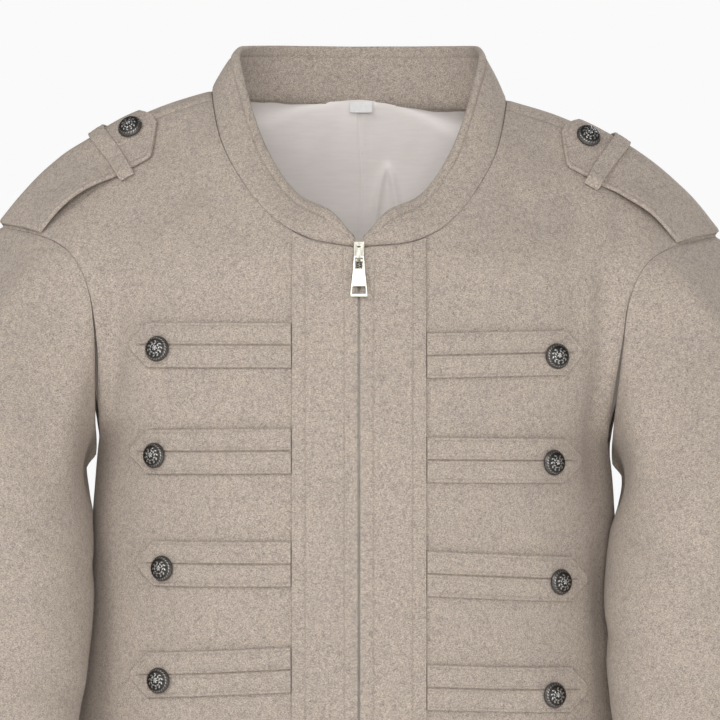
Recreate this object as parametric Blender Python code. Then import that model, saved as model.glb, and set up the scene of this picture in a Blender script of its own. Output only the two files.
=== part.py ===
"""Napoleon jacket, filled out as if worn: its sewn pieces as solid walls, in metres, +Z up.

The origin is the middle of the neck, level with the side neck points. X runs to the viewer's
right, Y away from the viewer. Sizes and tables are in millimetres, and MM turns them into metres.
The body is drawn as one even half, and hang() puts it on its side: side -1 is the viewer's left.
"""

import bmesh
import bpy
import math
import numpy as np
from mathutils import Matrix

MM = 0.001
SIDES = {"left": -1, "right": 1}

# Cloth and seams
WOOL = 2.2
SEAM = 0.3
LIFT = 0.5
TAB_LIFT = 0.8
PLACKET = 1.9
TAB = 2.6
COLLAR = 3.4
EPAULET = 3.0
LINING = 1.0
LINING_GAP = 1.2
LABEL = 0.6
LABEL_GAP = 1.5

# The body's rows run from the front hem over the shoulder to the back hem. A row leaves its near
# end (centre line or neckline) and arrives at its far end (side seam or armhole). Turns are
# degrees from +X towards +Y, drops are degrees below level, reaches set how full the curve is.
# near x, y, z | far x, y, z | leaving turn, drop, reach | arriving turn, drop, reach
BODY_ROWS = (
    (0, -122, -520, 210, 0, -520, 0, 0, 410, 90, 0, 183),
    (0, -121, -435, 203, 0, -435, 0, 0, 396, 90, 0, 180),
    (0, -120, -350, 195, 0, -350, 0, 0, 380, 90, 0, 178),
    (0, -118, -265, 190, 0, -265, 0, 0, 370, 90, 0, 177),
    (0, -114, -210, 187, -42, -237, 0, 4, 300, 60, 0, 120),
    (0, -109, -163, 186, -61, -195, 0, 6, 250, 30, 0, 130),
    (0, -101, -117.5, 189, -64, -158, 0, 4, 215, 20, 8, 140),
    (30, -98.5, -112.5, 196, -60, -134, 6, 6, 190, 15, 15, 140),
    (54.5, -90, -100.5, 207, -52, -118, 14, 9, 170, 10, 26, 140),
    (82.5, -67, -70, 222, -39, -109, 20, 14, 155, 8, 38, 140),
    (100.5, -38, -34, 241, -19, -103, 20, 15, 160, 4, 46, 165),
    (107.5, 5, 0, 261, 8, -99, 0, 16, 215, 0, 50, 225),
    (99, 33, 3, 259, 34, -104, 6, 14, 205, -4, 50, 205),
    (66, 60, 2, 246, 55, -116, 14, 12, 215, -16, 42, 180),
    (0, 75, -0.5, 230, 65, -136, 0, 0, 235, -22, 26, 160),
    (0, 99, -62, 215, 66, -167, 0, 0, 240, -30, 8, 150),
    (0, 115, -130, 203, 57, -203, 0, 0, 265, -44, 0, 140),
    (0, 121, -200, 194, 34, -241, 0, 0, 310, -68, 0, 130),
    (0, 120, -265, 190, 0, -265, 0, 0, 370, -90, 0, 180),
    (0, 114, -350, 195, 0, -350, 0, 0, 380, -90, 0, 171),
    (0, 110, -435, 203, 0, -435, 0, 0, 396, -90, 0, 165),
    (0, 111, -520, 210, 0, -520, 0, 0, 410, -90, 0, 167),
)
HEM_ROW = 0
ARMPIT_ROW = 3
NECK_ROW = 6
SHOULDER_SEAM_ROW = 10.65
SHOULDER_TOP_ROW = 11
BACK_NECK_ROW = 14
BACK_ARMPIT_ROW = 18
BACK_HEM_ROW = 21
# About how long the shoulder seam is, and one row step across it
SHOULDER_LENGTH = 175
ROW_LENGTH = 40

# The collar's upper edge, at the rows of the neckline from the centre front to the centre back
# x, y, z
COLLAR_TOP = (
    (3.5, -99, -109.5),
    (20, -90, -90),
    (38.5, -74, -79),
    (60, -54, -46),
    (75.5, -24, -2),
    (84, 8, 32),
    (80, 37, 38.5),
    (58, 64, 40),
    (0, 80, 38.5),
)
COLLAR_CURVE = 1.6
COLLAR_SEAM = 0.016
COLLAR_MITRE = 0.05

# Sleeve sections below the armhole. Lean is how much higher the outer side of a section is.
# centre x, y, z | half width, half depth | lean
SLEEVE_RINGS = (
    (251, -38, -290, 58, 69, 20),
    (253, -49, -350, 57, 66, 12),
    (257, -60, -420, 55.5, 63, 6),
    (262, -70, -495, 54, 60, 2),
    (266, -80, -570, 50, 57, 0),
    (270, -90, -640, 47, 54, 0),
)
CAP_REACH = 0.38

# The right side hangs a little lower, and its arm lies closer.
RIGHT_DROP = 7
RIGHT_TUCK = 7

# The largest folds of the body: soft troughs (depth above 0) and rolls (below 0)
# side, face | upper x, z | lower x, z | half width, depth
BODY_FOLDS = (
    (-1, -1, 174, -75, 174, -235, 9, 3.5),
    (1, -1, 173, -85, 176, -310, 10, 6.0),
    (1, -1, 177, -290, 190, -520, 9, 4.0),
    (-1, 1, 150, -95, 176, -300, 16, 7.0),
    (1, 1, 154, -90, 172, -320, 15, 6.0),
    (-1, 1, 92, -330, 128, -540, 17, 5.0),
    (1, 1, 84, -350, 104, -540, 15, 4.0),
    (-1, 1, 34, -20, 66, -150, 15, 3.0),
)

# Sleeve folds, across the arm at the elbow: turn is degrees round the arm, 0 outside, 90 in front
# side | turn, fall along the arm | spread in turn, spread along | slope, depth
SLEEVE_FOLDS = (
    (-1, 120, 0.56, 62, 0.030, 0.05, 4.5),
    (-1, 150, 0.66, 55, 0.026, -0.04, 4.0),
    (-1, 95, 0.80, 70, 0.030, 0.06, 3.5),
    (1, 125, 0.53, 60, 0.030, -0.05, 4.5),
    (1, 140, 0.64, 66, 0.028, 0.05, 4.0),
    (1, 100, 0.78, 60, 0.030, -0.05, 3.5),
    (-1, 250, 0.60, 50, 0.034, 0.04, 3.5),
    (1, 245, 0.68, 55, 0.034, -0.04, 3.5),
)

# Front bands and their tabs: z at the band and at the point, x of the point, x and z of the button
PLACKET_WIDTH = 46.5
PLACKET_TOP_GAP = 1.2
PLACKET_HEM_Z = -519
ZIP_EDGE = 1.5
TAB_WIDTH = 31.4
TAB_POINT = 12.5
TAB_ROUND = 2.6
# side | z at band, z at point, x of point | button x, z
TABS = (
    ("left", -186.0, -185.5, 160.3, 139.2, -188.6),
    ("left", -258.9, -260.5, 159.9, 140.6, -263.0),
    ("left", -336.8, -338.4, 155.0, 134.7, -341.4),
    ("left", -409.6, -417.0, 159.2, 137.5, -419.6),
    ("right", -193.2, -190.7, 156.4, 136.8, -193.8),
    ("right", -265.0, -266.8, 156.0, 133.9, -267.9),
    ("right", -343.3, -350.3, 159.6, 138.7, -351.2),
    ("right", -421.6, -427.5, 159.9, 134.2, -429.8),
)

# Buttons: radius and height of the turned outline, from the edge of the back to the crown
BUTTON_OUTLINE = ((7.6, 0.0), (8.9, 0.7), (9.0, 1.7), (8.3, 3.0), (6.4, 4.6), (3.4, 5.7))
BUTTON_CROWN = 6.1
BUTTON_GAP = 0.6

# Epaulets, measured forward (below 0) and back from the shoulder's top line
EPAULET_START = 0.235
EPAULET_END = 0.99
EPAULET_MIDDLE = -17
EPAULET_WIDTH = 66
EPAULET_FLARE = 4
EPAULET_POINT = 0.13
EPAULET_ARCH = 5.5
ARCH_START = 0.36
EPAULET_BUTTON = 0.345
LOOP_PLACE = 0.475
LOOP_WIDTH = 13.5
LOOP = 1.8

# Zip
TAPE_WIDTH = 12
TAPE = 1.2
TAPE_GAP = 0.8
TEETH_TOP = 1.0
ZIP_Z = (-506, -119.5)
ZIP_BOX_Z = -512.2
ZIP_BOX_SIZE = (10, 11)
SLIDER_Z = -125.6
SLIDER_PLATE = 1.6
PULL_AXIS_HEIGHT = 1.9
PULL = 1.5

WOOL_COLOUR = (0.50, 0.43, 0.37)
SATIN_COLOUR = (0.66, 0.60, 0.56)
SILVER_COLOUR = (0.42, 0.40, 0.37)


def smooth_rows(table, place, breaks=()):
    """Table values at fractional row numbers, on cubics that never overshoot. A break is a corner."""
    table = np.asarray(table, float)
    steps = np.diff(table, axis=0)
    product = steps[:-1] * steps[1:]
    total = np.where(product > 0, steps[:-1] + steps[1:], 1)
    slopes = np.where(product > 0, 2 * product / total, 0)
    starts = np.vstack([steps[:1], slopes])
    ends = np.vstack([slopes, steps[-1:]])
    for row in breaks:
        starts[row] = steps[row]
        ends[row - 1] = steps[row - 1]
    place = np.clip(np.asarray(place, float), 0, len(steps))
    row = np.minimum(place.astype(int), len(steps) - 1)
    part = (place - row)[..., None]
    return hermite(table[row], table[row + 1], starts[row], ends[row], part)


def hermite(start, end, leaving, arriving, part):
    """Point of a cubic curve from start to end, with the given velocities at its ends."""
    span = end - start
    squared = 3 * span - 2 * leaving - arriving
    cubed = leaving + arriving - 2 * span
    return start + part * (leaving + part * (squared + part * cubed))


def ease(value):
    """0 below 0, 1 above 1, and smooth between."""
    value = np.clip(value, 0, 1)
    return value * value * (3 - 2 * value)


def unit(vectors):
    return vectors / np.linalg.norm(vectors, axis=-1, keepdims=True)


def heading(turn, drop, reach):
    """Vector of length reach, turned from +X towards +Y and dropped below level, in degrees."""
    turn, drop = np.radians(turn), np.radians(drop)
    flat = np.cos(drop)
    return np.stack([np.cos(turn) * flat, np.sin(turn) * flat, -np.sin(drop)], -1) * reach[..., None]


ROWS = np.array(BODY_ROWS, float)
NEAR = ROWS[:, 0:3]
FAR = ROWS[:, 3:6]
LEAVING = heading(ROWS[:, 6], ROWS[:, 7], ROWS[:, 8])
ARRIVING = heading(ROWS[:, 9], ROWS[:, 10], ROWS[:, 11])


def round_neck(table, place, breaks=()):
    """Rows that end at the centre back, run on into their mirror image so that they meet smoothly."""
    mirrored = table[-2:-1] * (-1, 1, 1)
    return smooth_rows(np.vstack([table, mirrored]), place, breaks)


def neckline(t):
    neck = round_neck(NEAR[: BACK_NECK_ROW + 1], np.minimum(t, BACK_NECK_ROW), (NECK_ROW,))
    centre_back = smooth_rows(NEAR[BACK_NECK_ROW:], t - BACK_NECK_ROW)
    return np.where((t > BACK_NECK_ROW)[..., None], centre_back, neck)


def armhole(t):
    return smooth_rows(FAR, t)


def body_half(s, t):
    """Plain outer face of the even half: s from near (0) to far (1), t the row number."""
    leaving = smooth_rows(LEAVING, t)
    arriving = smooth_rows(ARRIVING, t)
    return hermite(neckline(t), armhole(t), leaving, arriving, s[..., None])


def facing(surface, s, t, step=0.004):
    """Outward unit normal of a surface of (s, t), one-sided at the first and last row."""
    above = np.minimum(t + step, BACK_HEM_ROW)
    below = np.maximum(t - step, HEM_ROW)
    along_s = surface(s + step, t) - surface(s - step, t)
    along_t = surface(s, above) - surface(s, below)
    return unit(np.cross(along_s, along_t))


def fold_depth(side, points):
    """How far the folds of one side press the body in at these points."""
    depth = np.zeros(points.shape[:-1])
    for fold_side, face, x_up, z_up, x_low, z_low, half_width, deep in BODY_FOLDS:
        if fold_side != side:
            continue
        run = np.array([x_low - x_up, z_low - z_up], float)
        length = np.linalg.norm(run)
        run = run / length
        offset_x = points[..., 0] - x_up
        offset_z = points[..., 2] - z_up
        along = (offset_x * run[0] + offset_z * run[1]) / length
        across = offset_x * run[1] - offset_z * run[0]
        ends = ease(along / 0.25) * ease((1 - along) / 0.25)
        same_face = ease(points[..., 1] * face / 20)
        depth += deep * np.exp(-((across / half_width) ** 2)) * ends * same_face
    return depth * ease(points[..., 0] / 20)


def hang(side, points):
    """Puts points of the even half on their side."""
    x, y, z = points[..., 0], points[..., 1], points[..., 2]
    if side < 0:
        return np.stack([-x, y, z], -1)
    drop = RIGHT_DROP * ease(x / 80)
    tuck = RIGHT_TUCK * ease((x - 120) / 60) * ease((-170 - z) / 80)
    return np.stack([x - tuck, y, z - drop], -1)


def body(side, s, t, out=0.0):
    """Point of the body's outer face, moved out by out, on its side."""
    s, t = np.broadcast_arrays(np.asarray(s, float), np.asarray(t, float))

    def creased(s, t):
        plain = body_half(s, t)
        pressed = fold_depth(side, plain)[..., None]
        return plain - facing(body_half, s, t) * pressed

    points = creased(s, t)
    out = np.asarray(out, float)
    if np.any(out):
        points = points + facing(creased, s, t) * out[..., None]
    return hang(side, points)


def on_body(side, x, z, t_guess):
    """The s and t where the body's face has this x and z, x counted from the centre."""
    x, z = np.broadcast_arrays(np.asarray(x, float), np.asarray(z, float))
    s = x / 200
    t = np.full(x.shape, float(t_guess))
    step = 0.002
    for _ in range(14):
        here = body(side, s, t) * (side, 1, 1)
        by_s = (body(side, s + step, t) * (side, 1, 1) - here) / step
        by_t = (body(side, s, t + step) * (side, 1, 1) - here) / step
        miss_x = x - here[..., 0]
        miss_z = z - here[..., 2]
        area = by_s[..., 0] * by_t[..., 2] - by_s[..., 2] * by_t[..., 0]
        move_s = (miss_x * by_t[..., 2] - miss_z * by_t[..., 0]) / area
        move_t = (miss_z * by_s[..., 0] - miss_x * by_s[..., 2]) / area
        s = np.clip(s + np.clip(move_s, -0.1, 0.1), 0, 1)
        t = np.clip(t + np.clip(move_t, -0.6, 0.6), 0, BACK_HEM_ROW)
    return s, t


def around_shoulder(side, s, distance):
    """The row at a distance over the shoulder from its top line, back if above 0."""
    s, distance = np.broadcast_arrays(np.asarray(s, float), np.asarray(distance, float))
    fine = np.linspace(SHOULDER_TOP_ROW - 3, SHOULDER_TOP_ROW + 2, 101)
    lines = body(side, s[..., None], fine)
    lengths = np.linalg.norm(np.diff(lines, axis=-2), axis=-1)
    result = np.empty(s.shape)
    for place in np.ndindex(s.shape):
        walked = np.concatenate([[0], np.cumsum(lengths[place])])
        walked -= np.interp(SHOULDER_TOP_ROW, fine, walked)
        result[place] = np.interp(distance[place], walked, fine)
    return result


def seat(side, s, t, out):
    """Matrix in metres of a place on the body: local Z points out, local Y up the cloth."""
    point = body(side, s, t, out)
    step = 0.003
    ahead = body(side, s + step, t, out) - body(side, s - step, t, out)
    above = body(side, s, t + step, out) - body(side, s, t - step, out)
    normal = unit(np.cross(ahead, above)) * side
    across = unit(np.cross((0, 0, 1), normal))
    return placed(across, np.cross(normal, across), normal, point)


def placed(across, upward, outward, point):
    """Matrix in metres from three directions and a point in millimetres."""
    matrix = Matrix.Identity(4)
    for axis, vector in enumerate((across, upward, outward, point * MM)):
        for row in range(3):
            matrix[row][axis] = vector[row]
    return matrix


def finish(thing, colour, roughness, metallic=0.0):
    """Gives the object its own material."""
    material = bpy.data.materials.new(thing.name)
    material.use_nodes = True
    shader = material.node_tree.nodes["Principled BSDF"]
    shader.inputs["Base Color"].default_value = (*colour, 1)
    shader.inputs["Roughness"].default_value = roughness
    shader.inputs["Metallic"].default_value = metallic
    thing.data.materials.append(material)


def wool(thing):
    finish(thing, WOOL_COLOUR, 0.95)


def satin(thing):
    finish(thing, SATIN_COLOUR, 0.4)


def silver(thing):
    finish(thing, SILVER_COLOUR, 0.35, 1.0)


def solid(name, points, faces, look, matrix=None):
    """Object from points in millimetres and faces, turned to face out, with its look."""
    mesh = bpy.data.meshes.new(name)
    mesh.from_pydata([tuple(point) for point in np.asarray(points) * MM], [], faces)
    form = bmesh.new()
    form.from_mesh(mesh)
    bmesh.ops.recalc_face_normals(form, faces=form.faces)
    form.to_mesh(mesh)
    form.free()
    mesh.shade_smooth()
    mesh.set_sharp_from_angle(angle=math.radians(50))
    thing = bpy.data.objects.new(name, mesh)
    bpy.context.scene.collection.objects.link(thing)
    if matrix is not None:
        thing.matrix_world = matrix
    look(thing)
    return thing


def wall(name, sheets, look, holes=(), matrix=None):
    """Closed wall between pairs of (outer, inner) grids. Sheets that meet share their points."""
    numbers = {}
    outer = []
    inner = []
    faces = []
    for far, near in sheets:
        grid = np.empty(far.shape[:2], int)
        for place in np.ndindex(grid.shape):
            key = tuple(np.round(far[place], 2) + 0.0)
            if key not in numbers:
                numbers[key] = len(outer)
                outer.append(far[place])
                inner.append(near[place])
            grid[place] = numbers[key]
        for i, j in np.ndindex(grid.shape[0] - 1, grid.shape[1] - 1):
            if (i, j) in holes:
                continue
            a, b, c, d = (int(grid[i + m, j + n]) for m, n in ((0, 0), (0, 1), (1, 1), (1, 0)))
            faces += [face for face in ((a, b, c), (a, c, d)) if len(set(face)) == 3]
    edges = {}
    for face in faces:
        for start, end in zip(face, face[1:] + face[:1]):
            edges.setdefault(frozenset((start, end)), []).append((start, end))
    count = len(outer)
    rims = [found[0] for found in edges.values() if len(found) == 1]
    back = [tuple(corner + count for corner in reversed(face)) for face in faces]
    sides = [(end, start, start + count, end + count) for start, end in rims]
    return solid(name, outer + inner, faces + back + sides, look, matrix)


def panel(side, s, t, outer, inner):
    """Outer and inner grid of a piece of the body's wall."""
    return body(side, s, t, outer), body(side, s, t, inner)


def stations(*runs):
    """Row numbers from runs of (start, end, steps) that follow each other."""
    values = [np.linspace(start, end, steps + 1)[:-1] for start, end, steps in runs]
    return np.concatenate(values + [[runs[-1][1]]])


def front_upper_rows():
    """Rows of the front from the armpit to the shoulder seam, shared with the sleeve and collar."""
    return stations((ARMPIT_ROW, NECK_ROW, 6), (NECK_ROW, SHOULDER_SEAM_ROW, 8))


def back_upper_rows():
    """Rows of the back from the shoulder seam to the armpit, shared with the sleeve and collar."""
    return stations(
        (SHOULDER_SEAM_ROW, BACK_NECK_ROW - 1, 4),
        (BACK_NECK_ROW - 1, BACK_NECK_ROW, 3),
        (BACK_NECK_ROW, BACK_ARMPIT_ROW, 6),
    )


def make_front(name, side):
    """Front, hem to shoulder seam. Its centre edge stops short of the zip's teeth."""
    seam = SEAM / 2
    rows = np.concatenate([stations((HEM_ROW, ARMPIT_ROW, 8)), front_upper_rows()[1:]])
    rows[-1] -= seam / ROW_LENGTH
    reach = np.linalg.norm(smooth_rows(LEAVING, rows), axis=-1)
    start = ZIP_EDGE / reach * np.clip(NECK_ROW + 1 - rows, 0, 1)
    part = np.linspace(0, 1, 15)[None, :]
    s = start[:, None] + (1 - seam / SHOULDER_LENGTH - start[:, None]) * part
    t = np.broadcast_to(rows[:, None], s.shape)
    return wall(name, [panel(side, s, t, 0.0, -WOOL)], wool)


def half_sheets(columns, rows, outer, inner):
    """Both halves of a piece that crosses the centre back."""
    s, t = np.meshgrid(columns, rows)
    return [panel(side, s, t, outer, inner) for side in SIDES.values()]


def back_grid():
    """Columns and rows of the back, which the lining shares so that it follows close inside."""
    seam = SEAM / 2
    rows = np.concatenate([back_upper_rows(), stations((BACK_ARMPIT_ROW, BACK_HEM_ROW, 7))[1:]])
    rows[0] += seam / ROW_LENGTH
    return np.linspace(0, 1 - seam / SHOULDER_LENGTH, 12), rows


def make_back():
    columns, rows = back_grid()
    return wall("back", half_sheets(columns, rows, 0.0, -WOOL), wool)


def make_lining():
    columns, rows = back_grid()
    outer = -WOOL - LINING_GAP
    inner = outer - LINING
    return wall("lining_back", half_sheets(columns, rows[1:-1], outer, inner), satin)


def make_label():
    """Bare size label, hanging in front of the lining from the neck seam."""
    columns, rows = back_grid()
    first = list(rows).index(BACK_NECK_ROW)
    lining = -WOOL - LINING_GAP - LINING
    top, below = (body(1, 0.0, rows[first + k], lining) for k in (0, 1))
    down = unit(below - top)
    inward = unit(np.cross(down, (1, 0, 0)))
    corners = [[top + (x, 0, 0) + down * fall for x in (-6.8, 9.8)] for fall in (0.8, 9.2)]
    grid = np.array(corners) + inward * LABEL_GAP
    sheet = (grid + inward * LABEL, grid)
    return wall("size_label", [sheet], lambda thing: finish(thing, (0.8, 0.8, 0.78), 0.7))


def sleeve_half(side, turn, fall):
    """Outer face of a sleeve: turn 0 to 1 round from the top forward, fall 0 to 1 down the arm."""
    turn = turn % 1.0
    front_rows = SHOULDER_TOP_ROW - ARMPIT_ROW
    back_rows = BACK_ARMPIT_ROW - SHOULDER_TOP_ROW
    forward = turn <= 0.5
    row = np.where(
        forward,
        SHOULDER_TOP_ROW - 2 * turn * front_rows,
        BACK_ARMPIT_ROW - (2 * turn - 1) * back_rows,
    )
    start = armhole(row)
    outward = unit(smooth_rows(ARRIVING, row))
    normal = facing(body_half, np.full(row.shape, 0.999), row)
    under = unit(normal + np.array([0, 0, -0.9]))
    low = ease((-125 - start[..., 2]) / 95)[..., None]
    leaving = unit(outward * (1 - low) + under * low)
    start = start + leaving * SEAM
    cap_part = 0.3
    ring = np.clip((fall - cap_part) / (1 - cap_part), 0, 1) * (len(SLEEVE_RINGS) - 1)
    below = sleeve_ring(turn, ring)
    first = sleeve_ring(turn, np.zeros(turn.shape))
    second = sleeve_ring(turn, np.full(turn.shape, 0.1))
    span = np.linalg.norm(first - start, axis=-1, keepdims=True)
    handle = 3 * CAP_REACH * span
    part = np.clip(fall / cap_part, 0, 1)[..., None]
    cap = hermite(start, first, leaving * handle, unit(second - first) * handle, part)
    return np.where((fall < cap_part)[..., None], cap, below)


def sleeve_ring(turn, ring):
    values = smooth_rows(SLEEVE_RINGS, ring)
    angle = 2 * np.pi * turn
    x = values[..., 0] + values[..., 3] * np.cos(angle)
    y = values[..., 1] - values[..., 4] * np.sin(angle)
    z = values[..., 2] + values[..., 5] * np.cos(angle)
    return np.stack([x, y, z], -1)


def sleeve(side, turn, fall, out=0.0):
    """Point of a sleeve with its folds, moved out by out, on its side."""
    turn, fall = np.broadcast_arrays(np.asarray(turn, float), np.asarray(fall, float))

    def plain(turn, fall):
        return sleeve_half(side, turn, fall)

    def creased(turn, fall):
        pressed = np.zeros(turn.shape)
        for fold_side, middle, place, wide, tall, slope, deep in SLEEVE_FOLDS:
            if fold_side != side:
                continue
            away = (turn * 360 - middle + 180) % 360 - 180
            line = place + slope * away / wide
            round_arm = np.exp(-((away / wide) ** 2))
            pressed += deep * round_arm * np.exp(-(((fall - line) / tall) ** 2))
        return plain(turn, fall) - tube_facing(plain, turn, fall) * pressed[..., None]

    points = creased(turn, fall)
    if out:
        points = points + tube_facing(creased, turn, fall) * out
    return hang(side, points)


def tube_facing(surface, turn, fall):
    """Outward normal of a sleeve, one-sided at its two ends."""
    step = 0.003
    low = np.maximum(fall - step, 0)
    high = np.minimum(fall + step, 1)
    around = surface(turn + step, fall) - surface(turn - step, fall)
    down = surface(turn, high) - surface(turn, low)
    return unit(np.cross(around, down))


def make_sleeve(name, side):
    forward = np.flip(front_upper_rows())
    behind = np.flip(back_upper_rows())
    turn = np.concatenate([
        (SHOULDER_TOP_ROW - forward) / (SHOULDER_TOP_ROW - ARMPIT_ROW) / 2,
        1 - (behind[1:] - SHOULDER_TOP_ROW) / (BACK_ARMPIT_ROW - SHOULDER_TOP_ROW) / 2,
    ])
    fall = stations((0, 0.3, 6), (0.3, 1, 9))
    turn, fall = np.meshgrid(turn, fall)
    return wall(name, [(sleeve(side, turn, fall), sleeve(side, turn, fall, -WOOL))], wool)


def collar_half(v, t):
    """Outer face of the collar: v from the neck seam (0) to the upper edge (1), t a neckline row."""
    past = t > BACK_NECK_ROW
    t = np.where(past, 2 * BACK_NECK_ROW - t, t)
    low = neckline(t)
    high = round_neck(np.array(COLLAR_TOP, float), t - NECK_ROW)
    points = low + (high - low) * v[..., None]
    return points * np.where(past[..., None], (-1, 1, 1), (1, 1, 1))


def collar(side, v, t, out=0.0):
    v, t = np.broadcast_arrays(np.asarray(v, float), np.asarray(t, float))
    bulge = COLLAR_CURVE * 4 * v * (1 - v) + out
    points = collar_half(v, t) - facing(collar_half, v, t) * bulge[..., None]
    return hang(side, points)


def make_collar():
    v = np.linspace(COLLAR_SEAM, 1, 5)
    t = np.concatenate([front_upper_rows(), back_upper_rows()[1:]])
    t = t[(t >= NECK_ROW) & (t <= BACK_NECK_ROW)]
    t[0] += 0.06
    v, t = np.meshgrid(v, t)
    # the seam is a ridge, so the inner face starts a little higher
    v_inner = v + COLLAR_MITRE * (v == COLLAR_SEAM)
    sheets = [(collar(side, v, t), collar(side, v_inner, t, -COLLAR)) for side in SIDES.values()]
    return wall("collar", sheets, wool)


def neck_height(side, x):
    """Height of the neckline at this distance from the centre front."""
    rows = np.linspace(NECK_ROW, NECK_ROW + 3, 200)
    line = hang(side, neckline(rows))
    return np.interp(x, np.abs(line[:, 0]), line[:, 2])


def on_front(side, x, z, out):
    """Point in front of the body at this x and z, x counted from the centre."""
    s, t = on_body(side, x, z, 4)
    return body(side, s, t, out)


def make_placket(name, side):
    """Band beside the zip, sewn flat on the front from the neck seam to the hem."""
    x = np.linspace(ZIP_EDGE, PLACKET_WIDTH, 5)
    top = neck_height(side, x) - PLACKET_TOP_GAP
    down = np.linspace(0, 1, 19)[:, None] ** 1.5
    bottom = PLACKET_HEM_Z - (RIGHT_DROP * ease(x / 80) if side > 0 else 0)
    z = top + (bottom - top) * down
    x = np.broadcast_to(x, z.shape)
    sheet = (on_front(side, x, z, LIFT + PLACKET), on_front(side, x, z, LIFT))
    return wall(name, [sheet], wool)


def tab_grid(z_band, z_point, x_point, steps):
    """Grid of x and z over one tab, from the band to the point."""
    shoulder = x_point - TAB_POINT
    start = PLACKET_WIDTH + SEAM
    x = np.concatenate([np.linspace(start, shoulder, steps), np.linspace(shoulder, x_point, 3)[1:]])
    middle = z_band + (z_point - z_band) * (x - start) / (x_point - start)
    taper = np.clip((x - shoulder) / TAB_POINT, 0, 1)
    half = TAB_WIDTH / 2 * (1 - taper) + TAB_ROUND * taper
    z = middle[:, None] + half[:, None] * np.array([1, 0, -1])[None, :]
    return np.broadcast_to(x[:, None], z.shape), z


def make_tab(name, side, z_band, z_point, x_point):
    x, z = tab_grid(z_band, z_point, x_point, 9)
    outer, inner = (on_front(side, x, z, out) for out in (TAB_LIFT + TAB, TAB_LIFT))
    return wall(name, [(outer, inner)], wool)


def make_button(name, matrix):
    """Domed metal button, turned about local Z, its flat back at local Z 0."""
    around = 12
    points = []
    faces = []
    for radius, height in BUTTON_OUTLINE:
        for k in range(around):
            angle = 2 * math.pi * k / around
            points.append((radius * math.cos(angle), radius * math.sin(angle), height))
    for ring in range(len(BUTTON_OUTLINE) - 1):
        for k in range(around):
            a = ring * around + k
            b = ring * around + (k + 1) % around
            faces.append((a, b, b + around, a + around))
    crown = len(points)
    points.append((0, 0, BUTTON_CROWN))
    last = crown - around
    for k in range(around):
        faces.append((last + k, last + (k + 1) % around, crown))
    faces.append(tuple(reversed(range(around))))
    return solid(name, points, faces, silver, matrix)


def epaulet_lift(part, across):
    """How far the epaulet stands off the shoulder: it arches between loop and sleeve seam."""
    arch = np.sin(np.pi * np.clip((part - ARCH_START) / (1 - ARCH_START), 0, 1)) ** 1.2
    front = 0.35 + 0.65 * np.clip(-across, 0, 1)
    return 2 * LIFT + EPAULET_ARCH * arch * front


def epaulet_place(side, part, across):
    """The s and t of the epaulet: part 0 to 1 from its point to the sleeve, across -1 to 1."""
    s = EPAULET_START + (EPAULET_END - EPAULET_START) * part
    narrow = np.clip(part / EPAULET_POINT, 0, 1)
    half = EPAULET_WIDTH / 2 + EPAULET_FLARE * part
    distance = EPAULET_MIDDLE + across * half * (0.12 + 0.88 * narrow)
    return s, around_shoulder(side, s, distance)


def make_epaulet(name, side):
    part = stations((0, EPAULET_POINT, 2), (EPAULET_POINT, 1, 9))
    across = np.linspace(-1, 1, 7)
    part, across = np.meshgrid(part, across, indexing="ij")
    s, t = epaulet_place(side, part, across)
    lift = epaulet_lift(part, across)
    return wall(name, [(body(side, s, t, lift + EPAULET), body(side, s, t, lift))], wool)


def make_loop(name, side):
    """Carrier loop across the epaulet, its feet sewn to the shoulder on both sides."""
    loop_part = (LOOP_PLACE - EPAULET_START) / (EPAULET_END - EPAULET_START)
    half = EPAULET_WIDTH / 2 + EPAULET_FLARE * loop_part
    over = 2 * LIFT + EPAULET + 2 * LIFT
    # distance past the epaulet's middle, height of the inner face
    profile = (
        (-half - 5.0, LIFT),
        (-half - 2.9, LIFT + 0.2),
        (-half - 1.6, over),
        (-half * 0.75, over),
        (-half * 0.4, over),
        (0, over),
        (half * 0.4, over),
        (half * 0.75, over),
        (half + 1.6, over),
        (half + 2.9, LIFT + 0.2),
        (half + 5.0, LIFT),
    )
    distance = np.array([row[0] for row in profile])[:, None] + EPAULET_MIDDLE
    height = np.array([row[1] for row in profile])[:, None]
    s = LOOP_PLACE + np.array([-0.5, 0, 0.5])[None, :] * LOOP_WIDTH / SHOULDER_LENGTH
    s, distance = np.broadcast_arrays(s, distance)
    height = np.broadcast_to(height, s.shape)
    t = around_shoulder(side, s, distance)
    # the outer face is wider at the feet, so the wall keeps its thickness where it steps down
    reach = distance - EPAULET_MIDDLE
    spread = np.where(np.abs(reach) > half, np.sign(reach) * 1.6, 0)
    t_outer = around_shoulder(side, s, distance + spread)
    return wall(name, [(body(side, s, t_outer, height + LOOP), body(side, s, t, height))], wool)


def zip_frame(z):
    """Matrix at the centre front at this height: local Y up the cloth, local Z out."""
    _, t = on_body(-1, np.array(0.0), np.array(z), 5.5)
    step = 0.003
    across = np.array([1.0, 0.0, 0.0])
    upward = unit(neckline(t + step) - neckline(t - step))
    return placed(across, upward, np.cross(across, upward), neckline(t))


def make_zip_side(name, side):
    """Tape behind the front with its row of teeth standing in the slit."""
    z = np.linspace(*ZIP_Z, 17)
    tape_out = -WOOL - TAPE_GAP
    profile = (
        (0.15, tape_out - TAPE),
        (TAPE_WIDTH, tape_out - TAPE),
        (TAPE_WIDTH, tape_out),
        (ZIP_EDGE - 0.25, tape_out),
        (ZIP_EDGE - 0.25, TEETH_TOP),
        (0.15, TEETH_TOP),
    )
    x = np.array([row[0] for row in profile])
    out = np.array([row[1] for row in profile])
    out = np.broadcast_to(out, (len(z), len(x)))
    points = on_front(side, x[None, :], z[:, None], out).reshape(-1, 3)
    return solid(name, points, tube_faces(len(profile), len(z)), silver)


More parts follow.
